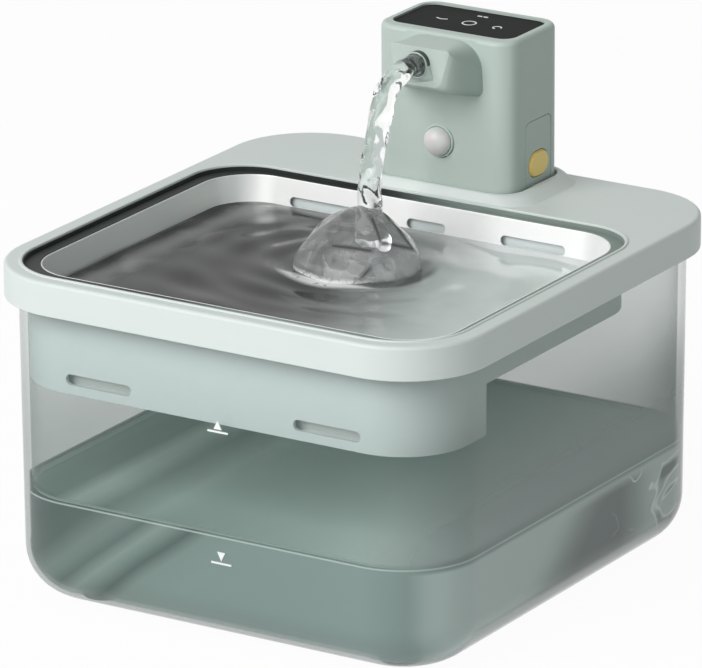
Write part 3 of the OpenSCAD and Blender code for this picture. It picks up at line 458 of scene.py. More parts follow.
class Nodes:
    """A node tree for shaders."""

    def __init__(self, tree: bpy.types.NodeTree) -> None:
        """Empties the tree."""
        self.tree = tree
        tree.nodes.clear()

    def node(self, kind: str, settings: Mapping[str, object] | None = None,
             inputs: Mapping[object, object] | None = None, out: object = 0) -> Value:
        """Adds one node.

        Args:
            kind: the node's type.
            settings: its properties; "stops" are a ramp's positions and colours.
            inputs: values or links by socket name, identifier or number.
            out: the output socket, by name or number.

        Returns:
            The output as a Value.
        """
        made = self.tree.nodes.new(kind)
        for key, value in (settings or {}).items():
            if key == "stops":
                while len(made.color_ramp.elements) < len(value):
                    made.color_ramp.elements.new(1.0)
                for element, (at, colour) in zip(made.color_ramp.elements, value):
                    element.position, element.color = at, (*colour, 1)
            else:
                setattr(made, key, value)
        for key, value in (inputs or {}).items():
            named = [s for s in made.inputs if key in (s.identifier, s.name) and s.enabled]
            socket = made.inputs[key] if isinstance(key, int) else named[0]
            if isinstance(value, Value):
                self.tree.links.new(value.socket, socket)
            elif isinstance(value, tuple) and socket.type == "RGBA":
                socket.default_value = (*value, 1)
            else:
                socket.default_value = value
        return Value(self, made.outputs[out] if made.outputs else None)

    def blend(self, factor: object, first: Value, second: Value) -> Value:
        """A shader between two shaders."""
        return self.node("ShaderNodeMixShader", {}, {0: factor, 1: first, 2: second})

    def ray(self, kind: str) -> Value:
        """One where the ray is of that kind."""
        return self.node("ShaderNodeLightPath", out=f"Is {kind} Ray")

    def seen(self) -> Value:
        """One where a ray comes from the camera, a reflection or a see-through surface."""
        return self.ray("Camera").most(self.ray("Glossy")).most(self.ray("Transmission"))


class Paint(Nodes):
    """One material's nodes. Patterns are measured in millimetres on Object coordinates."""

    def __init__(self, name: str) -> None:
        """Starts a material with only its coordinates.

        Args:
            name: the material's name.
        """
        self.material = bpy.data.materials.new(name)
        self.material.use_nodes = True
        super().__init__(self.material.node_tree)
        place = self.node("ShaderNodeTexCoord", out="Object")
        self.place = self.node("ShaderNodeMapping", {}, {"Vector": place, "Scale": (1 / MM,) * 3})

    def stretch(self, scale: Sequence[float] | None) -> Value:
        """Coordinates in millimetres, scaled along each axis if there is a scale.

        Args:
            scale: a factor for each axis, or none.

        Returns:
            The coordinates.
        """
        if not scale:
            return self.place
        return self.node("ShaderNodeMapping", {}, {"Vector": self.place, "Scale": tuple(scale)})

    def noise(self, size: float, detail: float = 3, scale: Sequence[float] | None = None,
              rough: float = 0.5, distortion: float = 0.0) -> Value:
        """Soft noise, 0 to 1, whose spots are about size millimetres across.

        Args:
            size: about how many millimetres a spot is across.
            detail, rough, distortion: the noise's own settings.
            scale: a factor for each axis, or none.

        Returns:
            The noise.
        """
        return self.node("ShaderNodeTexNoise", {}, {
            "Vector": self.stretch(scale), "Scale": 1 / size, "Detail": detail, "Roughness": rough,
            "Distortion": distortion})

    def cells(self, size: float, feature: str = "F1", scale: Sequence[float] | None = None) -> Value:
        """The distance field of cells about size millimetres across."""
        return self.node("ShaderNodeTexVoronoi", {"feature": feature},
                         {"Vector": self.stretch(scale), "Scale": 1 / size}, "Distance")

    def axes(self) -> tuple[Value, ...]:
        """The coordinates x, y and z in millimetres."""
        return tuple(self.node("ShaderNodeSeparateXYZ", {}, {0: self.place}, name) for name in "XYZ")

    def facing(self) -> Value:
        """How far the surface turns away from the eye: 0 face on, 1 at its edge."""
        return self.node("ShaderNodeLayerWeight", {}, {"Blend": 0.5}, "Facing")

    def mixed(self, factor: object, first: object, second: object) -> Value:
        """A colour between two colours."""
        return self.node("ShaderNodeMix", {"data_type": "RGBA"}, {
            "Factor_Float": factor, "A_Color": first, "B_Color": second}, 2)

    def bump(self, height: Value, depth: float, strength: float = 1.0) -> Value:
        """A normal from a height of 0 to 1 that stands for depth millimetres."""
        return self.node("ShaderNodeBump", {}, {"Height": height, "Distance": depth * MM, "Strength": strength})

    def surface(self, **sockets: object) -> Value:
        """A Principled shader; underscores in a name stand for spaces."""
        return self.node("ShaderNodeBsdfPrincipled", {},
                         {key.replace("_", " "): value for key, value in sockets.items()})

    def veil(self, amount: object, tint: Colour, body: Value, shadow: float) -> Value:
        """A body mixed by amount with a clear tint, and thinner by shadow in what shade it throws."""
        clear = self.node("ShaderNodeBsdfTransparent", {}, {"Color": tint})
        return self.blend(amount * (1 - self.ray("Shadow") * shadow), clear, body)

    def shown(self, shader: Value) -> bpy.types.Material:
        """Connects a shader to the output and gives the material."""
        self.node("ShaderNodeOutputMaterial", {}, {"Surface": shader})
        return self.material


@dataclass(frozen=True)
class Fade:
    """Painted light or shade: a change towards a lighter or darker colour along one axis, none at start and whole
    at end.
    """

    axis: Axis
    start: float
    end: float
    colour: Colour

    def over(self, paint: Paint, colour: Value) -> Value:
        """The colour with the painted light or shade laid over it."""
        return paint.mixed(paint.axes()[self.axis].span(self.start, self.end), colour, self.colour)


def with_painted_shading(paint: Paint, colour: Value, fade: Fade | None) -> Value:
    """The colour, with painted light or shade laid over it if there is one."""
    return fade.over(paint, colour) if fade else colour


@dataclass(frozen=True)
class Finish:
    """A named finish; each kind makes its own shader."""

    name: str

    def shader(self, paint: Paint) -> Value:
        """The finish's shader."""
        raise NotImplementedError

    def material(self) -> bpy.types.Material:
        """The finish's material."""
        paint = Paint(self.name)
        return paint.shown(self.shader(paint))


@dataclass(frozen=True)
class Moulded(Finish):
    """Moulded plastic: fine spark-eroded grain, faint flow clouds, a slow change of gloss and, where given,
    painted light or shade along one axis.
    """

    colour: Colour
    rough: float = 0.42
    grain: float = 0.35
    depth: float = 0.004
    cloud: float = 0.03
    coat: float = 0.0
    depth_glow: float = 0.0
    # painted light or shade along one axis, if any
    fade: Fade | None = None

    def shader(self, paint: Paint) -> Value:
        """Plastic whose colour and gloss follow the flow and the grain.

        Args:
            paint: the material's nodes.

        Returns:
            The shader.
        """
        flow, grain = paint.noise(38, 3, (1, 1, 0.6)), paint.noise(self.grain, 2)
        dark, light = (tuple(min(1.0, c * (1 + part)) for c in self.colour) for part in (-self.cloud, self.cloud))
        colour = paint.mixed(flow * 0.8 + grain * 0.2, dark, light)
        return paint.surface(
            Base_Color=with_painted_shading(paint, colour, self.fade),
            Roughness=self.rough - 0.04 + flow * 0.05 + grain * 0.04,
            Coat_Weight=self.coat, Subsurface_Weight=self.depth_glow, Subsurface_Scale=0.002,
            Normal=paint.bump(grain, self.depth, 0.6))


@dataclass(frozen=True)
class Murk:
    """The colour of deep still water, painted with its light: painted reflection streaks along one side wall that
    slant below the surface, paler towards the right, painted shade and glints near the right wall, and a painted
    highlight at the waterline.
    """

    level: float
    wall: float = 92.2
    slant: float = 1.25
    reach: float = 100.0
    # pale, side, glint and rim are painted light, shade is painted shade, and the streaks are painted reflections
    pale: Colour = linear(238, 252, 247)
    side: Colour = linear(182, 198, 194)
    shade: Colour = linear(70, 84, 81)
    glint: Colour = linear(232, 242, 239)
    rim: Colour = linear(200, 214, 209)
    reflection_streaks: tuple[tuple[float, Colour], ...] = (
        (0.0, linear(128, 146, 140)), (0.1, linear(112, 131, 125)), (0.2, linear(112, 132, 125)),
        (0.28, linear(196, 211, 205)), (0.33, linear(186, 202, 196)), (0.42, linear(122, 142, 135)),
        (0.53, linear(165, 184, 178)), (0.6, linear(190, 208, 202)), (0.7, linear(172, 192, 186)),
        (0.8, linear(172, 192, 186)), (1.0, linear(185, 203, 197)))

    def colour(self, paint: Paint) -> Value:
        """The colour with its painted light. A painted reflection streak's place is its distance from the wall
        plus slant times its depth.

        Args:
            paint: the material's nodes.

        Returns:
            The colour.
        """
        slow = paint.noise(70, 2, (1, 0.35, 1))
        drift = slow - 0.5
        x, y, z = paint.axes()
        depth = (self.level - z).most(0.0)
        place = (x + self.wall + depth * self.slant + drift * 8) * (1 / self.reach)
        # painted reflection streaks that slant below the surface
        murk = paint.node("ShaderNodeValToRGB", {"stops": self.reflection_streaks}, {"Fac": place})
        # painted light: paler towards the right and back
        murk = paint.mixed((x + y * 0.1 + drift * 30).span(-10.0, 95.0), murk, self.pale)
        # painted light on the water's right side face
        murk = paint.mixed(x.span(80.0, 92.0) * depth.span(0.2, 2.0), murk, self.side)
        curl = paint.noise(22, 1, (1, 0.8, 1.3), 0.4, 1.2)
        below = x.span(76.0, 88.0) * depth.span(0.5, 6.0)
        band = (y + depth * 0.9 + drift * 30).span(-14.0, 30.0) * y.span(30.0, 62.0, 1.0, 0.0)
        # painted shade in a band and in curls near the right wall
        murk = paint.mixed((curl.span(0.5, 0.66) * y.span(30.0, 50.0)).most(band) * below * 0.85, murk, self.shade)
        # painted caustic glints in thin arcs near the right wall
        caustic_glints = (curl - 0.5).size().span(0.0, 0.04, 1.0, 0.0) * y.span(24.0, 44.0)
        murk = paint.mixed(caustic_glints * below * 0.8, murk, self.glint)
        # painted highlight along the waterline, where the water climbs the wall
        line = (z - self.level - 0.75).size().span(0.35, 0.7, 1.0, 0.0)
        return paint.mixed(line * 0.6, murk, self.rim)


# The tank water's colour, with its painted reflections, light and shade.
DEEP = Murk(43.5)
# The same painted reflections, light and shade, darker, for the water seen through the wall.
THROUGH_WALL = Murk(43.5, 84.0, pale=linear(132, 151, 147), shade=linear(76, 92, 88), reflection_streaks=(
    (0.0, linear(88, 105, 101)), (0.16, linear(80, 96, 92)), (0.32, linear(84, 101, 96)),
    (0.44, linear(112, 129, 123)), (0.49, linear(108, 126, 120)), (0.55, linear(92, 110, 105)),
    (0.63, linear(130, 148, 142)), (0.68, linear(114, 133, 127)), (0.75, linear(82, 100, 95)),
    (0.83, linear(122, 141, 135)), (1.0, linear(126, 145, 140))))


@dataclass(frozen=True)
class ClearPlastic(Finish):
    """Clear moulded plastic: see-through face on, smoky along the wall and low down.

    Below the water's level the wall is painted with the water's colour and its painted streaks and shade, standing
    in for the water seen through the thick wall, except at its rims; its upper right side is painted darker, a
    painted shade.
    """

    tint: Colour
    smoke: Colour
    # painted shade colour for the upper right side of the wall
    painted_side_shade: Colour
    clear: float = 0.09
    haze: float = 0.14
    haze_top: float = 112.0
    haze_low: float = 46.0
    side_haze: float = 0.4
    edge: float = 0.5
    rough: float = 0.06

    def shader(self, paint: Paint) -> Value:
        """Gloss over a clear tint, thicker by haze, by the view's slant and below the water's level, where the
        water's colour is painted on the wall.

        Args:
            paint: the material's nodes.

        Returns:
            The shader.
        """
        facing = paint.facing()
        ripple = paint.noise(60, 2, (1, 1, 0.4))
        x, _, height = paint.axes()
        side = x.span(60.0, 93.0)
        haze = height.span(self.haze_low, self.haze_top, self.haze, 0.0)
        # thicker on the upper right side, where the painted side shade shows
        haze = haze + side * height.span(self.haze_low - 2, 98.0, self.side_haze, 0.0)
        amount = self.clear + haze + (facing ** 3) * self.edge + (ripple - 0.5) * 0.02
        # below the water's level, the water's colour with its painted streaks and shade is painted on the wall
        painted_water = (DEEP.level + 1.4 - height).span(0.0, 0.8) * facing.span(0.6, 0.74, 1.0, 0.0) * height.span(4.0, 7.0)
        smoke = paint.mixed(ripple, self.smoke, tuple(c * 1.12 for c in self.smoke))
        # painted shade on the upper right side of the wall
        smoke = paint.mixed(side * height.span(self.haze_low, 90.0, 0.9, 0.0), smoke, self.painted_side_shade)
        gloss = paint.surface(
            Base_Color=paint.mixed(painted_water, smoke, THROUGH_WALL.colour(paint)),
            Roughness=self.rough + paint.noise(9, 2) * 0.03,
            Normal=paint.bump(ripple, 0.05, 0.4))
        return paint.veil(amount.most(painted_water * 0.9), self.tint, gloss, 0.85)


@dataclass(frozen=True)
class StillWater(Finish):
    """Deep still water: murky, with a soft surface and a painted glow at the right, emission that stands in for
    scattered light.
    """

    tint: Colour
    density: float = 0.86
    rough: float = 0.3
    # emission colour of the painted glow at the right
    painted_glow: Colour = (0.07, 0.078, 0.075)

    def shader(self, paint: Paint) -> Value:
        """The murk's colour over a clear tint.

        Args:
            paint: the material's nodes.

        Returns:
            The shader.
        """
        # painted glow: emission that brightens the water towards the right
        glow_at_right = paint.mixed(paint.axes()[Axis.X].span(0.0, 80.0), (0.0, 0.0, 0.0), self.painted_glow)
        body = paint.surface(Base_Color=DEEP.colour(paint), Roughness=self.rough + paint.noise(30, 2) * 0.06,
                             IOR=1.33, Specular_IOR_Level=0.06, Emission_Color=glow_at_right, Emission_Strength=1.0)
        return paint.veil(self.density + paint.facing() ** 3 * 0.1, self.tint, body, 0.75)


@dataclass(frozen=True)
class ShallowWater(Finish):
    """Shallow moving water over steel, with painted reflections: dark at the left, pale at the right and along the
    back wall, and painted shade beside the splash's foot.
    """

    # dark, pale and shine are painted reflections of the steel; shades are painted shade beside the splash
    dark: Colour
    pale: Colour
    shine: Colour
    side: float
    back: float
    splash_at: tuple[float, float]
    splash_r: float
    density: float = 0.86
    rough: float = 0.1
    tint: Colour = (0.9, 0.92, 0.92)
    foam: Colour = (0.95, 0.95, 0.95)
    shades: tuple[Colour, Colour] = (linear(40, 42, 42), linear(66, 68, 68))

    def shader(self, paint: Paint) -> Value:
        """Painted shine lies near the left wall and along the back, painted shade patches and foam at the splash's
        foot.

        Args:
            paint: the material's nodes.

        Returns:
            The shader.
        """
        x, y, _ = paint.axes()
        slow = paint.noise(42, 3, (0.8, 1.4, 1), 0.5, 0.6)
        fine = paint.noise(5, 4, (1, 1, 0.5), 0.6, 1.0)
        drift = slow - 0.5
        # painted reflection: dark at the left, pale at the right
        water = paint.mixed((x + y * 0.25 + drift * 26).span(-16.0, 60.0), self.dark, self.pale)
        off_side = x + self.side + drift * 9
        band = off_side.span(5.0, 13.0) * off_side.span(14.0, 24.0, 1.0, 0.0)
        edge = (self.back - y + drift * 8).span(3.0, 10.0, 1.0, 0.0)
        # painted shine: a band off the left wall and an edge along the back
        water = paint.mixed((band * 0.35).most(edge * 0.5), water, self.shine)
        dx, dy = x - self.splash_at[0], y - self.splash_at[1]
        far = (dx * dx + dy * dy) ** 0.5
        r = self.splash_r

        def patch(way: tuple[float, float], width: float, start: float = 0.6) -> Value:
            """A patch beside the splash's foot on the side that way points to."""
            beside = (dx * way[0] + dy * way[1]).span(r * start, r)
            return (far - r - 2.0).size().span(width * 0.3, width, 1.0, 0.0) * beside

        # painted shade: dark patches beside the splash's foot
        water = paint.mixed(patch((-0.97, -0.2), 8.0) * 0.8, water, self.shades[0])
        water = paint.mixed(patch((0.92, -0.4), 6.0) * 0.8, water, self.shades[1])
        water = paint.mixed(patch((0.0, -1.0), 6.5, 0.84) * fine.span(0.25, 0.42), water, self.foam)
        body = paint.surface(Base_Color=water, Roughness=self.rough + slow * 0.08, IOR=1.33,
                             Specular_IOR_Level=0.3)
        return paint.veil(self.density, self.tint, body, 0.75)


@dataclass(frozen=True)
class MovingWater(Finish):
    """Falling or splashing water: clear, painted dark at its edges and folds where refraction would darken it,
    with ripples and foam.
    """

    colour: Colour = (0.93, 0.95, 0.95)
    # the painted dark colour of edges and folds, standing in for refraction
    edge: Colour = (0.2, 0.23, 0.22)
    ripple: float = 3.0
    depth: float = 0.25
    calm_below: float = 0.0
    foam_z: float = 0.0
    foam_at: tuple[float, float] = (0.0, 0.0)
    milk: float = 0.0

    def shader(self, paint: Paint) -> Value:
        """Clear water, with foam below foam_z on the front left side of foam_at.

        Args:
            paint: the material's nodes.

        Returns:
            The shader.
        """
        x, y, z = paint.axes()
        skin = paint.noise(self.ripple, 3, (1, 1, 0.45), 0.6, 0.6)
        fold = paint.node("ShaderNodeAttribute", {"attribute_name": "fold"}, out="Fac")
        lively = z.span(self.calm_below - 7, self.calm_below, 0.12, 1.0)
        clear = paint.mixed(skin.span(0.35, 0.7) * lively, self.colour, (1.0, 1.0, 1.0))
        water = paint.surface(
            # painted dark edges and folds
            Base_Color=paint.mixed(paint.facing().span(0.72, 0.98).most(fold * 0.9), clear, self.edge),
            Roughness=skin.span(0.4, 0.8, 0.0, 0.06), IOR=1.33, Transmission_Weight=1.0,
            Normal=paint.bump(skin * lively, self.depth, 0.5))
        fine = paint.noise(2.2, 4, None, 0.6, 0.8)
        low = (z + fine * 5.0).span(self.foam_z, self.foam_z + 3.4, 1.0, 0.0)
        front_left = ((x - self.foam_at[0]) * -0.15 - (y - self.foam_at[1]) * 0.99).span(9.0, 17.0)
        white = paint.mixed(fine, (0.8, 0.82, 0.82), (0.97, 0.97, 0.97))
        # the foam is painted dark in the folds too
        foam = paint.surface(Base_Color=paint.mixed(fold * 0.95, white, self.edge), Roughness=0.6,
                             Normal=paint.bump(fine, 0.3, 0.8))
        milky = (skin.span(0.3, 0.7, 0.6, 1.4) * self.milk).most(fold * 0.7)
        return paint.blend((low * front_left * fine.span(0.3, 0.5)).most(milky), water, foam)


@dataclass(frozen=True)
class Metal(Finish):
    """Metal with fine brush lines along one axis, faint stains, a slow change of gloss and, where given, painted
    shade along one axis.
    """

    colour: Colour
    rough: float = 0.24
    lines: tuple[float, float, float] = (0.03, 1.4, 1.4)
    depth: float = 0.002
    stain: float = 0.06
    # painted light or shade along one axis, if any
    fade: Fade | None = None
    metallic: float = 1.0

    def shader(self, paint: Paint) -> Value:
        """Metal whose colour and gloss follow the lines and the stains.

        Args:
            paint: the material's nodes.

        Returns:
            The shader.
        """
        brushed, slow = paint.noise(0.6, 3, self.lines), paint.noise(26, 3)
        worn = tuple(c * (1 - self.stain) for c in self.colour)
        colour = paint.mixed(slow * 0.7 + brushed * 0.3, worn, self.colour)
        return paint.surface(
            Base_Color=with_painted_shading(paint, colour, self.fade), Metallic=self.metallic,
            Roughness=self.rough - 0.05 + brushed * 0.08 + slow * 0.04,
            Normal=paint.bump(brushed, self.depth, 0.5))


@dataclass(frozen=True)
class Rubber(Finish):
    """Silicone or rubber: matt, softly mottled, with a dusting of fine specks and, where given, painted light
    along one axis.
    """

    colour: Colour
    rough: float = 0.55
    dust: float = 0.06
    gloss: float = 0.35
    # painted light or shade along one axis, if any
    fade: Fade | None = None

    def shader(self, paint: Paint) -> Value:
        """Rubber with dust where fine noise peaks.

        Args:
            paint: the material's nodes.

        Returns:
            The shader.
        """
        soft = paint.noise(7, 4)
        specks = paint.noise(0.5, 2).span(0.62, 0.78)
        colour = paint.mixed(specks * 0.6 + soft * 0.2, self.colour, tuple(c + self.dust for c in self.colour))
        return paint.surface(
            Base_Color=with_painted_shading(paint, colour, self.fade),
            Roughness=self.rough + soft * 0.1 - 0.05, Specular_IOR_Level=self.gloss,
            Normal=paint.bump(soft, 0.01, 0.4))


@dataclass(frozen=True)
class Cellular(Finish):
    """Foam, felt or packed grains: cells of one size, darker between them."""

    colour: Colour
    gap: Colour
    size: float
    depth: float = 0.3
    rough: float = 0.9

    def shader(self, paint: Paint) -> Value:
        """Cells whose gaps come from their distance field, bent by noise.

        Args:
            paint: the material's nodes.

        Returns:
            The shader.
        """
        warp = paint.noise(self.size * 0.7, 3)
        fill = (paint.cells(self.size) + (warp - 0.5) * 0.5).span(0.15, 0.65)
        return paint.surface(
            Base_Color=paint.mixed(fill, self.colour, self.gap), Roughness=self.rough - fill * 0.1,
            Normal=paint.bump(1 - fill, self.depth, 0.8))


@dataclass(frozen=True)
class Winding(Finish):
    """Turns of enamelled wire round the Z axis."""

    colour: Colour
    groove: Colour
    pitch: float = 0.45

    def shader(self, paint: Paint) -> Value:
        """Wire whose crown is the size of a sine along Z.

        Args:
            paint: the material's nodes.

        Returns:
            The shader.
        """
        turn = (paint.axes()[Axis.Z] * (math.pi / self.pitch) + paint.noise(6, 2) * 0.8).wave().size()
        return paint.surface(
            Base_Color=paint.mixed(turn.span(0.1, 0.6), self.groove, self.colour), Metallic=0.85,
            Roughness=0.42 - turn * 0.12, Normal=paint.bump(turn, 0.15, 0.8))


@dataclass(frozen=True)
class Board(Finish):
    """A lacquered circuit board: mask over copper lines, with plated dots."""

    mask: Colour
    copper: Colour

    def shader(self, paint: Paint) -> Value:
        """Lines come from a cell field stretched along X, dots from a small one.

        Args:
            paint: the material's nodes.

        Returns:
            The shader.
        """
        lines = paint.cells(3.2, "DISTANCE_TO_EDGE", (0.5, 1, 1)).span(0.02, 0.1, 1.0, 0.0)
        dots = paint.cells(2.6).span(0.12, 0.17, 1.0, 0.0)
        mask = paint.mixed(lines, self.mask, tuple(c * 1.7 for c in self.mask))
        return paint.surface(
            Base_Color=paint.mixed(dots, mask, self.copper), Metallic=dots * 0.9,
            Roughness=0.3 + lines * 0.1, Coat_Weight=0.4, Normal=paint.bump(lines + dots, 0.03, 0.6))


@dataclass(frozen=True)
class DarkCover(Finish):
    """A black tinted cover: satin, with a faint haze of dust."""

    colour: Colour
    rough: float = 0.42
    gloss: float = 0.12

    def shader(self, paint: Paint) -> Value:
        """Black lifted a little by haze and specks.

        Args:
            paint: the material's nodes.

        Returns:
            The shader.
        """
        haze = paint.noise(14, 3)
        specks = paint.noise(0.4, 1).span(0.72, 0.8)
        lifted = tuple(c * 1.6 + 0.01 for c in self.colour)
        return paint.surface(
            Base_Color=paint.mixed(haze * 0.4 + specks * 0.5, self.colour, lifted),
            Roughness=self.rough + haze * 0.12, Specular_IOR_Level=self.gloss)


FINISHES: dict[str, Finish] = {
    "clear_tank": ClearPlastic("tank_clear", (0.965, 0.975, 0.972), linear(120, 136, 131), linear(150, 163, 160)),
    "foot_rubber": Rubber("foot_rubber", linear(150, 158, 155), 0.7),
    "white_print": Moulded("white_print", linear(243, 245, 244), 0.5, 0.2, 0.002, 0.02),
    "lid_plastic": Moulded("lid_satin", linear(219, 226, 223), 0.46, 0.4, 0.004, 0.015),
    "grey_silicone": Rubber("grey_silicone", linear(70, 75, 74), 0.5),
    "tray_plastic": Moulded("tray_mint", linear(225, 233, 232), 0.45, 0.4, 0.004, 0.02),
    "pump_plastic": Moulded("pump_grey", linear(216, 222, 220), 0.45),
    "dark_foam": Cellular("intake_cells", linear(62, 66, 66), linear(16, 17, 17), 0.9, 0.4),
    "copper_coil": Winding("copper_winding", linear(196, 118, 66), linear(70, 34, 20)),
    "black_resin": DarkCover("sealing_resin", linear(26, 26, 27), 0.3, 0.4),
    "shaft_ceramic": Moulded("shaft_ceramic", linear(232, 232, 226), 0.18, 0.15, 0.001, 0.02, 0.3),
    "impeller_plastic": Moulded("impeller_blue", linear(92, 124, 156), 0.4),
    "magnet": Rubber("magnet_dark", linear(50, 50, 55), 0.45, 0.03),
    "black_plastic": Moulded("black_plastic", linear(38, 41, 41), 0.45),
    "gilt_contact": Metal("gilt", linear(222, 182, 96), 0.25),
    # the black silicone is painted paler towards the right: a painted sheen
    "black_silicone": Rubber("black_silicone", linear(48, 52, 51), 0.5, 0.02, 0.15,
                             Fade(Axis.X, -24.0, 18.0, linear(136, 148, 143))),
    # the bowl's steel is painted greyer towards its left wall: painted shade
    "bowl_steel": Metal("bowl_satin", linear(252, 252, 251), 0.33, (0.02, 0.02, 1.0), 0.0006, 0.02,
                        Fade(Axis.X, -72.0, -84.0, linear(216, 220, 218)), 0.3),
    "white_plastic": Moulded("filter_white", linear(236, 238, 236), 0.5),
    "cotton_felt": Cellular("cotton", linear(242, 242, 236), linear(206, 205, 198), 1.1, 0.25, 0.95),
    "carbon_grains": Cellular("carbon", linear(46, 46, 47), linear(12, 12, 12), 1.6, 0.5, 0.75),
    # the unit's shell is painted darker towards its right-hand corner: painted shade
    "unit_plastic": Moulded("unit_satin", linear(195, 208, 201), 0.45, 0.4, 0.004, 0.015,
                            fade=Fade(Axis.X, 27.5, 29.8, linear(180, 194, 187))),
    "base_plastic": Moulded("base_grey", linear(138, 156, 150), 0.5),
    "screw_steel": Metal("screw_zinc", linear(196, 196, 198), 0.3, (1.0, 1.0, 1.0)),
    "panel_glass": DarkCover("touch_glass", linear(24, 25, 25), 0.5, 0.04),
    "circuit_board": Board("board_green", linear(28, 92, 66), linear(196, 164, 92)),
    "light_lens": Moulded("light_window", linear(240, 240, 228), 0.3, 0.2, 0.001, 0.02, 0.2),
    # the liner is painted dark inside the bore: painted shade in the recess
    "liner_plastic": Moulded("liner_satin", linear(199, 211, 205), 0.5,
                             fade=Fade(Axis.Y, 42.9, 43.5, linear(52, 66, 61))),
    "tube_silicone": Moulded("tube_cloudy", linear(222, 228, 224), 0.35, 0.5, 0.002, 0.03, 0.2, 0.3),
    "ring_plastic": Moulded("ring_pale", linear(204, 218, 212), 0.4),
    "lens_plastic": Moulded("lens_milky", linear(232, 230, 230), 0.32, 0.2, 0.001, 0.015, 0.15, 0.25),
    "can_metal": Metal("nickel_can", linear(190, 190, 192), 0.28, (0.5, 0.5, 0.05)),
    "battery_sleeve": Moulded("battery_wrap", linear(84, 126, 180), 0.3, 0.6, 0.003, 0.05, 0.4),
    "plug_silicone": Rubber("plug_soft", linear(152, 170, 163), 0.6, 0.02),
    "amber_plastic": Moulded("amber", linear(255, 222, 130), 0.42, 0.3, 0.004, 0.03),
    "spring_steel": Metal("spring_wire", linear(190, 190, 192), 0.22, (1.0, 1.0, 0.1)),
}


def coat(piece: Piece, material: bpy.types.Material) -> None:
    """Makes a material the piece's only one."""
    piece.data.materials.clear()
    piece.data.materials.append(material)


class Workshop:
    """Makes the finishes once, and fits pieces to the frame."""

    def __init__(self) -> None:
        """Makes every finish, reads each node's slot and body, and gives the node its slot's finish."""
        self.finish = {slot: finish.material() for slot, finish in FINISHES.items()}
        record = frame["record"]
        self.slot_of = {row["node"]: row["material_slot"] for row in record["subparts"]}
        self.body_of = {node: body for body, nodes in record["behaviour"]["bodies"].items() for node in nodes}
        for name, piece in frame["nodes"].items():
            coat(piece, self.finish[self.slot_of[name]])

    def fit(self, piece: Piece, body: Body | str, slot: str, finish: Finish | None = None,
            replaces: Sequence[str] = ()) -> Piece:
        """Finishes a piece and fixes it to its body.

        Args:
            piece: the piece.
            body: the body it rides on.
            slot: the record's slot that it takes its finish from.
            finish: its own finish, if it differs from the slot's.
            replaces: the CAD nodes that it stands for.

        Returns:
            The piece.
        """
        coat(piece, finish.material() if finish else self.finish[slot])
        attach(piece, str(getattr(body, "value", body)))
        if replaces:
            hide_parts(*replaces)
        log.info("%s rides on %s, %d faces", piece.name, body, len(piece.data.polygons))
        return piece

    def eased(self, radii: Mapping[str, float], cutters: Sequence[Piece] = ()) -> None:
        """Shows nodes by copies of their meshes with rounded edges.

        Args:
            radii: each CAD node and the width of its rounding.
            cutters: closed objects cut from the copies first.
        """
        for node, radius in radii.items():
            mesh = frame["nodes"][node].data.copy()
            mesh.name = node + "_eased"
            tidy = bmesh.new()
            tidy.from_mesh(mesh)
            bmesh.ops.remove_doubles(tidy, verts=tidy.verts, dist=MERGE)
            bmesh.ops.dissolve_limit(tidy, angle_limit=math.radians(FLAT), verts=tidy.verts, edges=tidy.edges)
            tidy.to_mesh(mesh)
            tidy.free()
            piece = placed(node + "_eased", mesh)
            if cutters:
                carve(piece, cutters)
            edge = piece.modifiers.new("edges", "BEVEL")
            edge.width, edge.segments, edge.limit_method = radius * MM, 3, "ANGLE"
            edge.angle_limit, edge.miter_outer = math.radians(35), "MITER_ARC"
            even_normals(piece)
            self.fit(piece, self.body_of[node], self.slot_of[node], replaces=(node,))


# ---- Tank ----


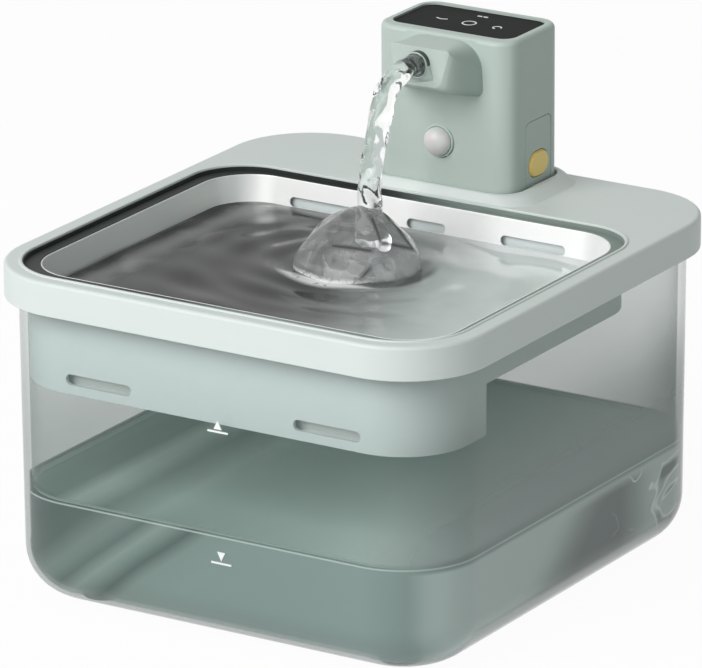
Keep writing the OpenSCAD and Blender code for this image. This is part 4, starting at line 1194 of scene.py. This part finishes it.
@dataclass
class Tank:
    """The clear tank, the water in it and its feet."""

    plan: Plan = Plan(-95.6, 95.6, -102.3, 102.3, 31, 31)
    foot_z: float = 1.5
    rim_z: float = 124.0
    wall: float = 3.0
    base_r: float = 18.9
    draft: float = 0.4
    water_z: float = DEEP.level
    water_gap: float = 0.12
    lip: float = 1.3
    lip_run: float = 3.2
    rim_r: float = 0.8
    inset: float = 26.0

    def lean(self, z: float) -> float:
        """How far the outer wall has come in at a height."""
        return (self.rim_z - z) * math.tan(math.radians(self.draft))

    def side(self, inwards: float, floor: float) -> list[tuple[float, float, float]]:
        """The floor and rounded foot of a profile that lies inwards of the outer wall."""
        return [(-self.inset, floor, 0), (-inwards - self.lean(floor), floor, self.base_r - inwards)]

    def shell(self) -> Piece:
        """The wall and floor: one closed profile, out over the rim and in again, carried round.

        Returns:
            The piece.
        """
        w, f, top, r = self.wall, self.foot_z, self.rim_z, self.rim_r
        outer = rounded([*self.side(0, f), (0, top, r), (-w, top, r)], steps=10)[:-1]
        inner = rounded([(0, top, 0), (-w, top, r), *self.side(w, f + w)[::-1]], steps=10)[1:]
        grid = self.plan.carry(np.concatenate([outer, inner]), 16)
        return Skin("tank_wall").grid(grid, Ends.CAPS).build()

    def water(self) -> Piece:
        """The water: the inner wall's profile drawn in by a gap, and a lip that climbs the wall.

        Returns:
            The piece.
        """
        depth, z = self.wall + self.water_gap, self.water_z
        top = -depth - self.lean(z)
        profile = rounded([*self.side(depth, self.foot_z + depth), (top, z + self.lip, 0)], steps=10)
        rise = np.linspace(0, 1, 9)[1:]
        fall = np.column_stack([top - self.lip_run * rise, z + self.lip * (1 - rise) ** 3])
        grid = self.plan.carry(np.concatenate([profile, fall]), 16)
        return Skin("tank_water").grid(grid, Ends.CAPS).build(60)

    def build(self, shop: Workshop) -> None:
        """Makes and dresses the tank's pieces.

        Args:
            shop: the workshop that fits them.
        """
        shop.fit(self.shell(), Body.TANK, "clear_tank", replaces=("tank_shell",))
        # the tank's water glows a little at the right: painted light
        shop.fit(self.water(), Body.TANK, "clear_tank", StillWater("tank_water", (0.86, 0.93, 0.9)))
        shop.eased({"tank_feet": 0.5})


# ---- Lid ----


OPENING = Plan(-92.5, 92.5, -100.5, 54.7, 26, 22)


@dataclass
class Lid:
    """The lid's band and deck, the raised base round the power unit, and the tray below."""

    plan: Plan = Plan(-100, 100, -106.7, 106.7, 33.2, 33.2)
    opening: Plan = OPENING
    unit: Plan = Plan(-30, 30, 61, 99.9, 8.5, 8.5)
    band_z: float = 117.2
    band_wall: float = 2.6
    deck_z: float = 127.7
    top_z: float = 130.2
    edge_r: float = 1.5
    deck_inset: float = 2.2
    socket_gap: float = 1.0
    rim: float = 1.2
    plinth_h: float = 3.5
    run: float = 7.0
    front_run: float = 2.6
    back_run: float = 2.0
    lip_h: float = 0.55
    lining: float = 0.4

    def plinth(self) -> tuple[Points, Points]:
        """The raised base's slope, between its foot on the deck and its rim round the socket.

        A point is (1 - w) times the foot's outline plus w times the rim's, with w running from 0
        to 1 and the height a smooth step of w, drawn a little steeper near the foot.

        Returns:
            The slope's grid and its foot loop.
        """
        top = self.unit.grown(self.socket_gap + self.rim)
        foot = Plan(top.x0 - self.run, top.x1 + self.run, top.y0 - self.front_run, top.y1 + self.back_run,
                    top.front + self.front_run, top.back + self.front_run)
        upper, lower = top.loops([0.0])[0], foot.loops([0.0])[0]
        w = np.linspace(0, 1, 13)[:, None, None]
        flat = (1 - w) * lower + w * upper
        rise = self.top_z + self.plinth_h * smooth(0.12 + 0.88 * w) * smooth(w * 6)
        grid = np.concatenate([flat, np.broadcast_to(rise, flat.shape[:2] + (1,))], -1)
        return grid, lower

    def shell(self) -> Piece:
        """Band, deck, opening and raised base as one closed skin.

        Returns:
            The piece.
        """
        w, d, t = self.band_wall, self.deck_z, self.top_z
        band = rounded([(-w, d, 0), (-w, self.band_z, 0.4), (0, self.band_z, 0.5), (0, t, self.edge_r),
                        (-self.deck_inset, t, 0)])
        edge = rounded([(1.4, t, 0), (1.3, t, 0.05), (1.1, t + self.lip_h, 0.3),
                        (0, t + self.lip_h, 0.45), (0, d, 0.3), (0.6, d, 0)])
        rim_z = t + self.plinth_h
        socket = self.unit.grown(self.socket_gap)
        socket_edge = rounded([(self.rim, rim_z, 0), (0, rim_z, 0.45), (0, d, 0)])
        slope, foot = self.plinth()
        opening_grid, socket_grid = self.opening.carry(edge), socket.carry(socket_edge)
        skin = Skin("lid_deck").grid(self.plan.carry(band)).grid(opening_grid).grid(socket_grid).grid(slope)
        skin.sheet(self.plan.loops([-self.deck_inset])[0], [opening_grid[0, :, :2], foot], t)
        skin.sheet(self.plan.loops([-w])[0], [opening_grid[-1, :, :2], socket_grid[-1, :, :2]], d)
        return skin.build()

    def opening_shade_lining(self) -> Piece:
        """A dark soft lining of the opening's wall, partly a gasket and partly a dark strip that stands in for the
        shade on that wall: a thin closed strip carried round it.

        Returns:
            The piece.
        """
        low, high = self.deck_z + 0.2, self.top_z + self.lip_h - 0.9
        strip = self.opening.carry(rounded([
            (0.1, high, 0), (-self.lining, high, 0.15), (-self.lining, low, 0.15), (0.1, low, 0)]))
        return Skin("opening_shade_lining").grid(strip, Ends.RING).build()

    def build(self, shop: Workshop) -> None:
        """Makes and dresses the lid's pieces.

        Args:
            shop: the workshop that fits them.
        """
        shop.fit(self.shell(), Body.LID, "lid_plastic", replaces=("lid_frame",))
        # a dark lining, partly standing in for the shade inside the opening
        shop.fit(self.opening_shade_lining(), Body.LID, "black_silicone")
        shop.eased({"filter_tray": 0.9, "lid_seal": 0.3, "pump_housing": 1.0, "pump_cover": 0.6,
                    "contact_block": 0.3, "riser_tube": 0.3, "cable_duct": 0.3})


# ---- Bowl ----


@dataclass
class Bowl:
    """The steel drinking bowl, its ring, the water in it and the splash."""

    plan: Plan = Plan(-87.6, 87.6, -92.2, 52.1, 20.6, 20.6)
    opening: Plan = OPENING
    rim_z: float = 128.2
    floor_z: float = 107.9
    steel: float = 0.6
    draft: float = 12.0
    base_r: float = 8.6
    edge_r: float = 0.28
    inset: float = 15.0
    flange_top: float = 127.6
    flange_inset: float = 1.0
    hem: float = 0.6
    slot_z: float = 119.9
    slot_h: float = 3.7
    slots: tuple[tuple[float, float], ...] = ((-46.5, 28.0), (0.0, 17.0), (46.5, 28.0))
    slot_reach: tuple[float, float] = (-9.0, 3.0)
    water_z: float = 117.6
    water_gap: float = 0.06
    around: int = 260
    slosh: tuple[float, float] = (-0.012, -0.012)
    splash_at: tuple[float, float] = (-1.2, 3.0)
    splash_r: float = 24.0
    splash_h: float = 19.6
    folds: tuple[tuple[float, float, float], ...] = (
        (-70, 30, 20.7), (-10, 33, 20.7), (-110, 14, 22.4), (-120, 44, 21.6), (-66, 60, 18.5), (6, 56, 18.4),
        (-158, 58, 20.2), (92, 54, 18.5), (36, 48, 19.2), (42, 8, 23.2), (-163, 34, 21.1), (-158, 6, 23.2),
        (87, 36, 19.3), (142, 38, 19.4), (122, 10, 23.2), (-43, 8, 23.1))

    def inwards(self, z: float) -> float:
        """How far the outer wall has come in at a height."""
        return (self.rim_z - z) * math.tan(math.radians(self.draft))

    def shell(self) -> Piece:
        """The bowl: rim, flange and drafted wall with a rounded base, out and back as one profile.

        Returns:
            The piece.
        """
        s, z0, zf, r, hem = self.steel, self.floor_z, self.flange_top, self.edge_r, self.hem
        slant = s / math.cos(math.radians(self.draft))
        inner = rounded([(-self.inset, z0 + s, 0), (-slant - self.inwards(z0 + s), z0 + s, self.base_r - s),
                         (-slant, self.rim_z, r), (0, self.rim_z, r), (-self.inwards(zf), zf, 0)], steps=8)
        outer = rounded([(-self.inwards(zf - s), zf - s, 0), (-self.inwards(z0), z0, self.base_r),
                         (-self.inset, z0, 0)], steps=8)
        flange = self.opening.grown(-self.flange_inset).carry(
            rounded([(-hem, zf, 0), (0, zf, r), (0, zf - s, r), (-hem, zf - s, 0)]))
        inner_grid, outer_grid = self.plan.carry(inner), self.plan.carry(outer)
        skin = Skin("bowl_shell").grid(inner_grid).grid(np.stack([inner_grid[-1], flange[0]]))
        skin.grid(flange).grid(np.stack([flange[-1], outer_grid[0]])).grid(outer_grid)
        skin.cap(inner_grid[0]).cap(outer_grid[-1])
        piece = skin.build(soft=False)
        low, high = (self.plan.y1 + reach for reach in self.slot_reach)
        carve(piece, [prism("slot", stadium(length, self.slot_h) + (x, self.slot_z), low, high)
                      for x, length in self.slots])
        even_normals(piece)
        return piece

    def ripples(self, x: Points, y: Points) -> Points:
        """The height of the water's surface above its level.

        A slight slope, rings that spread from the splash and fade with distance, and eight straight waves whose
        directions, lengths and phases come from a seeded draw.

        Args:
            x, y: places on the surface.

        Returns:
            Heights in millimetres.
        """
        draw = np.random.default_rng(7)
        tilt = self.slosh[0] * x + self.slosh[1] * y
        far = np.hypot(x - self.splash_at[0], (y - self.splash_at[1]) * 1.05)
        bent = far + 2.2 * np.sin(np.arctan2(y - self.splash_at[1], x) * 3 + 0.6)
        h = tilt + 0.34 * np.sin(bent * 0.42) * np.exp(-np.maximum(far - 18, 0) / 34)
        for _ in range(8):
            a, length, phase = draw.uniform(0, math.pi), draw.uniform(13, 42), draw.uniform(0, 6.3)
            h = h + 0.0042 * length * np.sin((x * np.cos(a) + y * np.sin(a)) * 2 * math.pi / length + phase)
        return h

    def water(self) -> Piece:
        """The water in the bowl: the inner wall's profile, and a rippled top in rings.

        A point of the top is the splash's centre plus a share of the way to the edge, from 1 to 0,
        at the level plus the ripples and a lip that climbs the last millimetre to the wall.

        Returns:
            The piece.
        """
        s, g = self.steel, self.water_gap
        slant = s / math.cos(math.radians(self.draft))
        floor = self.floor_z + s + g
        side = -slant - g
        profile = rounded([(-self.inset, floor, 0), (side - self.inwards(floor), floor, self.base_r - s - g),
                           (side - self.inwards(self.water_z), self.water_z, 0)], steps=8)
        rows = np.stack([paced(row, self.around, True) for row in self.plan.carry(profile, 24)])
        edge, centre = rows[-1, :, :2], np.array(self.splash_at)
        share = np.concatenate([np.linspace(1, 0.97, 6), np.linspace(0.965, 0, 96)])[:, None, None]
        flat = centre + share * (edge - centre)
        fade = smooth((1 - share[..., 0]) / 0.03)
        height = self.water_z + self.ripples(flat[..., 0], flat[..., 1]) * fade + 0.5 * (1 - fade)
        top = np.concatenate([flat, height[..., None]], -1)
        return Skin("bowl_water").grid(np.concatenate([rows[:-1], top])).cap(rows[0]).build(60, False)

    def splash(self) -> Piece:
        """The water thrown up where the stream lands: a bell with flat folds.

        The bell's radius along a direction is that of an ellipsoid. Each fold is a plane, given by
        the turn and tilt of its normal and its distance, and cuts the bell where it is nearer,
        through a soft minimum. A fold's mark is one where the two nearest planes are equally near.

        Returns:
            The piece.
        """
        rows, cols = 104, 216
        lift = np.linspace(-0.12, 0.5 * math.pi, rows)[:, None]
        a = circle(cols)[None]
        way = np.stack([np.cos(lift) * np.cos(a), np.cos(lift) * np.sin(a), np.sin(lift) + 0 * a], -1)
        axes = np.array([self.splash_r, self.splash_r, self.splash_h])
        bell = 1 / np.linalg.norm(way / axes, axis=-1)
        turn, tilt, reach = np.array(self.folds).T
        turn, tilt = np.radians(turn), np.radians(tilt)
        face = np.stack([np.cos(tilt) * np.cos(turn), np.cos(tilt) * np.sin(turn), np.sin(tilt)], -1)
        plane = reach / np.maximum(way @ face.T, 0.05)
        sharp = 2.4
        cut = -np.log(np.exp(-plane * sharp).sum(-1) + np.exp(-bell * sharp)) / sharp
        radius = cut * (1 + 0.012 * np.sin(a * 7 + lift * 6) * np.sin(lift * 2) ** 2)
        near = np.sort(plane, -1)
        mark = smooth(1.2 - (near[..., 1] - near[..., 0]) / 0.7) * smooth((bell - near[..., 0]) / 0.6)
        grid = way * radius[..., None]
        grid[..., 2] += 1.6 * np.exp(-(np.hypot(grid[..., 0], grid[..., 1]) / 7.0) ** 2)
        grid += np.array([*self.splash_at, self.water_z])
        grid[..., 1] += 4.5 * smooth((grid[..., 2] - self.water_z) / 24)
        skin = Skin("splash").grid(grid).cap(grid[0])
        # the fold mark, which the finish paints dark: painted shade in the folds
        skin.mark = np.concatenate([mark.ravel(), mark[0]])
        return skin.build(34, False)

    def build(self, shop: Workshop) -> None:
        """Makes and dresses the bowl's pieces.

        Args:
            shop: the workshop that fits them.
        """
        shop.fit(self.shell(), Body.BOWL, "bowl_steel", replaces=("steel_bowl",))
        shop.eased({"bowl_gasket": 0.35})
        # the bowl's water is painted with reflections and shade
        shop.fit(self.water(), Body.BOWL, "clear_tank", ShallowWater(
            "bowl_water", linear(34, 35, 35), linear(222, 229, 227), linear(206, 207, 207), 86.0, 50.5,
            self.splash_at, self.splash_r))
        shop.fit(self.splash(), Body.BOWL, "clear_tank", MovingWater(
            "splash_water", (0.9, 0.92, 0.92), (0.02, 0.025, 0.025), 7.0, 0.3, self.water_z + 19,
            self.water_z + 2.0, self.splash_at, 0.22))


# ---- Power unit ----


@dataclass
class PowerUnit:
    """The plug-in unit: shell with its nose, sensor, outlet and the stream."""

    front: float = 61.0
    nose_y: float = 44.0
    nose_lean: float = 0.13
    root: tuple[tuple[float, float, float], ...] = (
        (-18.4, 170.2, 3.0), (18.4, 170.2, 3.0), (17.3, 191.0, 11.0), (-17.3, 191.0, 11.0))
    tip: tuple[tuple[float, float, float], ...] = (
        (-9.5, 176.4, 3.4), (9.5, 176.4, 3.4), (12.9, 190.8, 0.9), (-12.9, 190.8, 0.9))
    flare_bend: float = 0.6
    room: tuple[tuple[float, float], ...] = ((-26.0, 160.0), (26.0, 160.0), (26.0, 196.0), (-26.0, 196.0))
    room_y: float = 30.0
    outlet: tuple[float, float, float] = (-0.2, 42.6, 184.5)
    liner_r: float = 5.0
    bore_r: float = 4.5
    stream_r: float = 4.3
    lens_r: float = 5.5
    dome_h: float = 4.2
    chin_x: tuple[float, float] = (6.8, -3.4)
    sensor: tuple[float, float, float] = (-1.2, 61.0, 150.3)
    stream_line: tuple[tuple[float, float], ...] = (
        (50.0, 183.8), (44.0, 184.6), (38.8, 185.6), (33.5, 185.2), (27.0, 183.0), (21.8, 179.0),
        (18.6, 173.6), (16.2, 168.0), (14.4, 162.0), (12.6, 156.0), (11.0, 150.0), (10.0, 144.0),
        (9.5, 138.0), (9.2, 130.0), (9.0, 120.0))

    def nose_front(self, z: Points) -> Points:
        """Where the nose's leaning face stands at a height: its foot's y plus the lean times the rise."""
        return self.nose_y + self.nose_lean * (z - self.tip[0][1])

    def nose(self) -> Skin:
        """The nose: its front outline swept back to a wider root on the shell's face.

        A point is the front outline plus f times the way to the root outline, where f is a power of
        the share of the depth.

        Returns:
            The skin, not yet a piece.
        """
        tip, root = rounded(self.tip, True, 10), rounded(self.root, True, 10)
        back = np.linspace(0, 1, 25)
        f = (back ** self.flare_bend)[:, None, None]
        flat = tip[None] + f * (root - tip)[None]
        start = self.nose_front(tip[:, 1])[None, :, None]
        y = start + back[:, None, None] * (self.front - start)
        grid = np.concatenate([flat[..., :1], y, flat[..., 1:]], -1)
        end = grid[-1] + np.array([0.0, 1.0, 0.0])
        skin = Skin("nose").grid(np.concatenate([grid, end[None]])).cap(end)
        a = circle(48)
        hole = np.array(self.outlet)[[0, 2]] + self.bore_r * np.stack([np.cos(a), np.sin(a)], -1)
        face = Skin("face").sheet(tip, [hole], 0.0)
        x, z = np.concatenate(face.points)[:, :2].T
        skin.add(np.stack([x, self.nose_front(z), z], -1), face.faces)
        rows = (self.nose_front(hole[:, 1]), np.full(len(hole), self.front - 2))
        bore = np.stack([np.stack([hole[:, 0], row, hole[:, 1]], -1) for row in rows])
        return skin.grid(bore).cap(bore[-1])

    def chin(self) -> Skin:
        """The wedge under the outlet: from the liner's lower half down to the nose's lower edge.

        Returns:
            The skin, not yet a piece.
        """
        x, y, z = self.outlet
        a = np.linspace(math.radians(2), math.radians(-170), 13)
        r = self.liner_r + 0.1
        upper = np.stack([x + r * np.cos(a), np.full(13, y + 0.5), z + r * np.sin(a)], -1)
        foot_z = np.linspace(self.tip[0][1] + 2.6, self.tip[0][1] + 0.1, 13)
        lower = np.stack([np.linspace(*self.chin_x, 13), self.nose_front(foot_z), foot_z], -1)
        t = np.linspace(0, 1, 8)[:, None, None]
        face = (1 - t) * upper + t * lower
        back = face.copy()
        back[..., 1] = self.nose_y + 2.5
        loop = np.concatenate([face, back[:, ::-1]], 1)
        return Skin("chin").grid(loop, Ends.CAPS)

    def liner(self) -> Piece:
        """The outlet's liner: a short tube with a rounded lip, turned about its axis.

        Returns:
            The piece.
        """
        x, y, z = self.outlet
        depth = self.front - 1 - y
        profile = rounded([(self.bore_r, depth, 0), (self.bore_r, 0, 0.3), (self.liner_r, 0, 0.4),
                           (self.liner_r + 0.1, depth, 0)])
        return Skin("outlet_lip").grid(turned(profile, (x, y, z)), Ends.RING).build()

    def lens(self) -> Piece:
        """The sensor's milky lens: a dome turned about the sensor's axis, with a short skirt.

        Returns:
            The piece.
        """
        a = np.linspace(0, 0.5 * math.pi, 16)
        dome = np.column_stack([self.lens_r * np.cos(a) ** 0.9, -0.6 - self.dome_h * np.sin(a)])
        dome[-1, 0] = 0.0
        profile = np.concatenate([[(0.0, 2.0), (self.lens_r, 2.0)], dome])
        return Skin("sensor_dome").grid(turned(profile, self.sensor)).build(50)

    def collar(self) -> Piece:
        """The ring round the lens, with rounded edges and a bevel towards the lens."""
        profile = rounded([(5.6, 2, 0), (5.6, -0.1, 0.25), (6.15, -0.9, 0.3), (6.45, -0.1, 0.2), (6.45, 2, 0)])
        return Skin("sensor_collar").grid(turned(profile, self.sensor), Ends.RING).build(50)

    def stream(self) -> Piece:
        """The falling water: a tube along a smoothed line, with lobes that wander down it.

        The line is the given points run through a moving average. Round it the radius is the
        stream's own, times one plus three small waves in the angle and the length.

        Returns:
            The piece.
        """
        steps, blur = 190, 19
        path = paced(np.array(self.stream_line), steps)
        pad = np.pad(path, ((blur // 2, blur // 2), (0, 0)), mode="reflect", reflect_type="odd")
        kernel = np.hanning(blur) / np.hanning(blur).sum()
        path = np.column_stack([np.convolve(pad[:, i], kernel, mode="valid") for i in (0, 1)])
        tangent = unit(np.gradient(path, axis=0))
        side = np.column_stack([tangent[:, 1], -tangent[:, 0]])
        t = np.linspace(0, 1, steps)[:, None]
        a = circle(40)[None]
        base = self.stream_r - 0.5 * smooth(t * 5) + 0.5 * smooth((t - 0.3) * 1.8)
        lobes = (0.07 * np.sin(2 * a + 9 * t) + 0.06 * np.sin(3 * a - 21 * t + 1) +
                 0.035 * np.sin(5 * a + 44 * t) + 0.03 * np.sin(a * 4 + 70 * t))
        r = base * (1 + lobes * smooth(t * 6))
        x = r * np.cos(a) * (1 + 0.1 * smooth(t * 4))
        q = r * np.sin(a)
        grid = np.stack([x, path[:, :1] + q * side[:, :1], path[:, 1:] + q * side[:, 1:]], -1)
        return Skin("water_stream").grid(grid, Ends.CAPS).build(60, False)

    def build(self, shop: Workshop) -> None:
        """Makes and dresses the power unit's pieces.

        Args:
            shop: the workshop that fits them.
        """
        away = prism("front", np.array(self.room), self.room_y, self.front - 0.002)
        shop.eased({"unit_shell": 0.5}, (away,))
        # the nose's right flank is painted darker: painted shade
        nose = replace(FINISHES["unit_plastic"], name="nose_satin",
                       fade=Fade(Axis.X, 10.0, 15.5, linear(166, 182, 174)))
        shop.fit(self.nose().build(30), Body.UNIT, "unit_plastic", nose)
        shop.fit(self.chin().build(30), Body.UNIT, "unit_plastic")
        shop.fit(self.liner(), Body.UNIT, "liner_plastic", replaces=("outlet_liner",))
        shop.fit(self.lens(), Body.UNIT, "lens_plastic", replaces=("sensor_lens",))
        shop.fit(self.collar(), Body.UNIT, "ring_plastic", replaces=("sensor_ring",))
        shop.eased({"touch_panel": 0.25, "latch_panel": 0.35, "port_plug": 0.5, "unit_base": 0.4,
                    "battery_pack": 1.2, "release_button": 0.7, "latch_slider": 0.3})
        stream = shop.fit(self.stream(), Body.UNIT, "clear_tank", MovingWater("stream_water", ripple=2.2))
        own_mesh(stream)


@dataclass
class Cartridge:
    """The filter cartridge."""

    radii: Mapping[str, float] = field(default_factory=lambda: {
        "filter_case": 0.5, "filter_grille": 0.3, "filter_cotton": 0.9})

    def build(self, shop: Workshop) -> None:
        """Eases the cartridge's edges."""
        shop.eased(self.radii)


# ---- Studio ----


@dataclass
class Studio:
    """Camera, lamps, world and floor."""

    azimuth: float = 32.027
    elevation: float = 18.49
    roll: float = -0.317
    distance: float = 2.71779
    target_z: float = 0.0915
    lens: float = 375.8
    shift: float = -0.00727
    film: float = 36.0
    clip_end: float = 30.0
    sky: float = 0.3
    key: tuple[float, float, float] = (-0.19, -0.78, 0.59)
    key_power: float = 30.0
    key_size: float = 1.3
    key_away: float = 2.0
    glow: float = 0.96
    floor_half: float = 3.0

    def camera(self) -> None:
        """Stands the camera back from the target at its azimuth and elevation."""
        az, el = math.radians(self.azimuth), math.radians(self.elevation)
        back = Vector((math.sin(az) * math.cos(el), -math.cos(az) * math.cos(el), math.sin(el)))
        right = Vector((math.cos(az), math.sin(az), 0))
        turn = Matrix((right, back.cross(right), back)).transposed().to_4x4()
        data = bpy.data.cameras.new("camera")
        data.lens, data.sensor_width = self.lens, self.film
        data.shift_x, data.clip_end = self.shift, self.clip_end
        camera = bpy.data.objects.new("camera", data)
        bpy.context.scene.collection.objects.link(camera)
        camera.matrix_world = (Matrix.Translation(Vector((0, 0, self.target_z)) + back * self.distance)
                               @ turn @ Matrix.Rotation(math.radians(self.roll), 4, "Z"))
        bpy.context.scene.camera = camera

    def lamp(self) -> None:
        """Hangs a square lamp that faces the object."""
        data = bpy.data.lights.new("key", "AREA")
        data.energy, data.size = self.key_power, self.key_size
        lamp = bpy.data.objects.new("key", data)
        bpy.context.scene.collection.objects.link(lamp)
        facing = Vector(self.key).normalized()
        lamp.matrix_world = (Matrix.Translation(facing * self.key_away + Vector((0, 0, self.target_z)))
                             @ facing.to_track_quat("Z", "Y").to_matrix().to_4x4())

    def world(self) -> None:
        """A pale sky for the light, and plain white where it is seen, mirrored or looked through."""
        world = bpy.data.worlds.new("studio")
        world.use_nodes = True
        bpy.context.scene.world = world
        sky = Nodes(world.node_tree)
        light, white = (sky.node("ShaderNodeBackground", {}, {"Color": colour, "Strength": strength})
                        for colour, strength in (((0.94, 1.0, 0.98), self.sky), ((1.0, 1.0, 1.0), 1.0)))
        sky.node("ShaderNodeOutputWorld", {}, {"Surface": sky.blend(sky.seen(), light, white)})

    def floor(self) -> None:
        """A plain pale floor, nearly white where it is seen, that keeps the object's shadow."""
        corners = np.array([(-1, -1, 0), (1, -1, 0), (1, 1, 0), (-1, 1, 0)]) * self.floor_half / MM
        floor = Skin("floor").cap(corners).build(soft=False)
        paint = Paint("floor_pale")
        colour = paint.mixed(paint.noise(400, 2), (0.86, 0.87, 0.87), (0.9, 0.91, 0.91))
        pale = paint.surface(Base_Color=colour, Roughness=0.9)
        glow = paint.node("ShaderNodeEmission", {}, {"Color": (1.0, 1.0, 1.0), "Strength": 1.0})
        coat(floor, paint.shown(paint.blend(paint.seen() * self.glow, pale, glow)))

    def build(self) -> None:
        """Makes the studio."""
        self.camera()
        self.world()
        self.lamp()
        self.floor()
        bpy.context.scene.view_settings.view_transform = "Standard"


def main() -> None:
    """Builds the studio and every sub-assembly."""
    logging.basicConfig(level=logging.INFO, format="%(name)s: %(message)s")
    Studio().build()
    shop = Workshop()
    for assembly in (Tank(), Lid(), Bowl(), Cartridge(), PowerUnit()):
        assembly.build(shop)


if __name__ == "__main__":
    main()
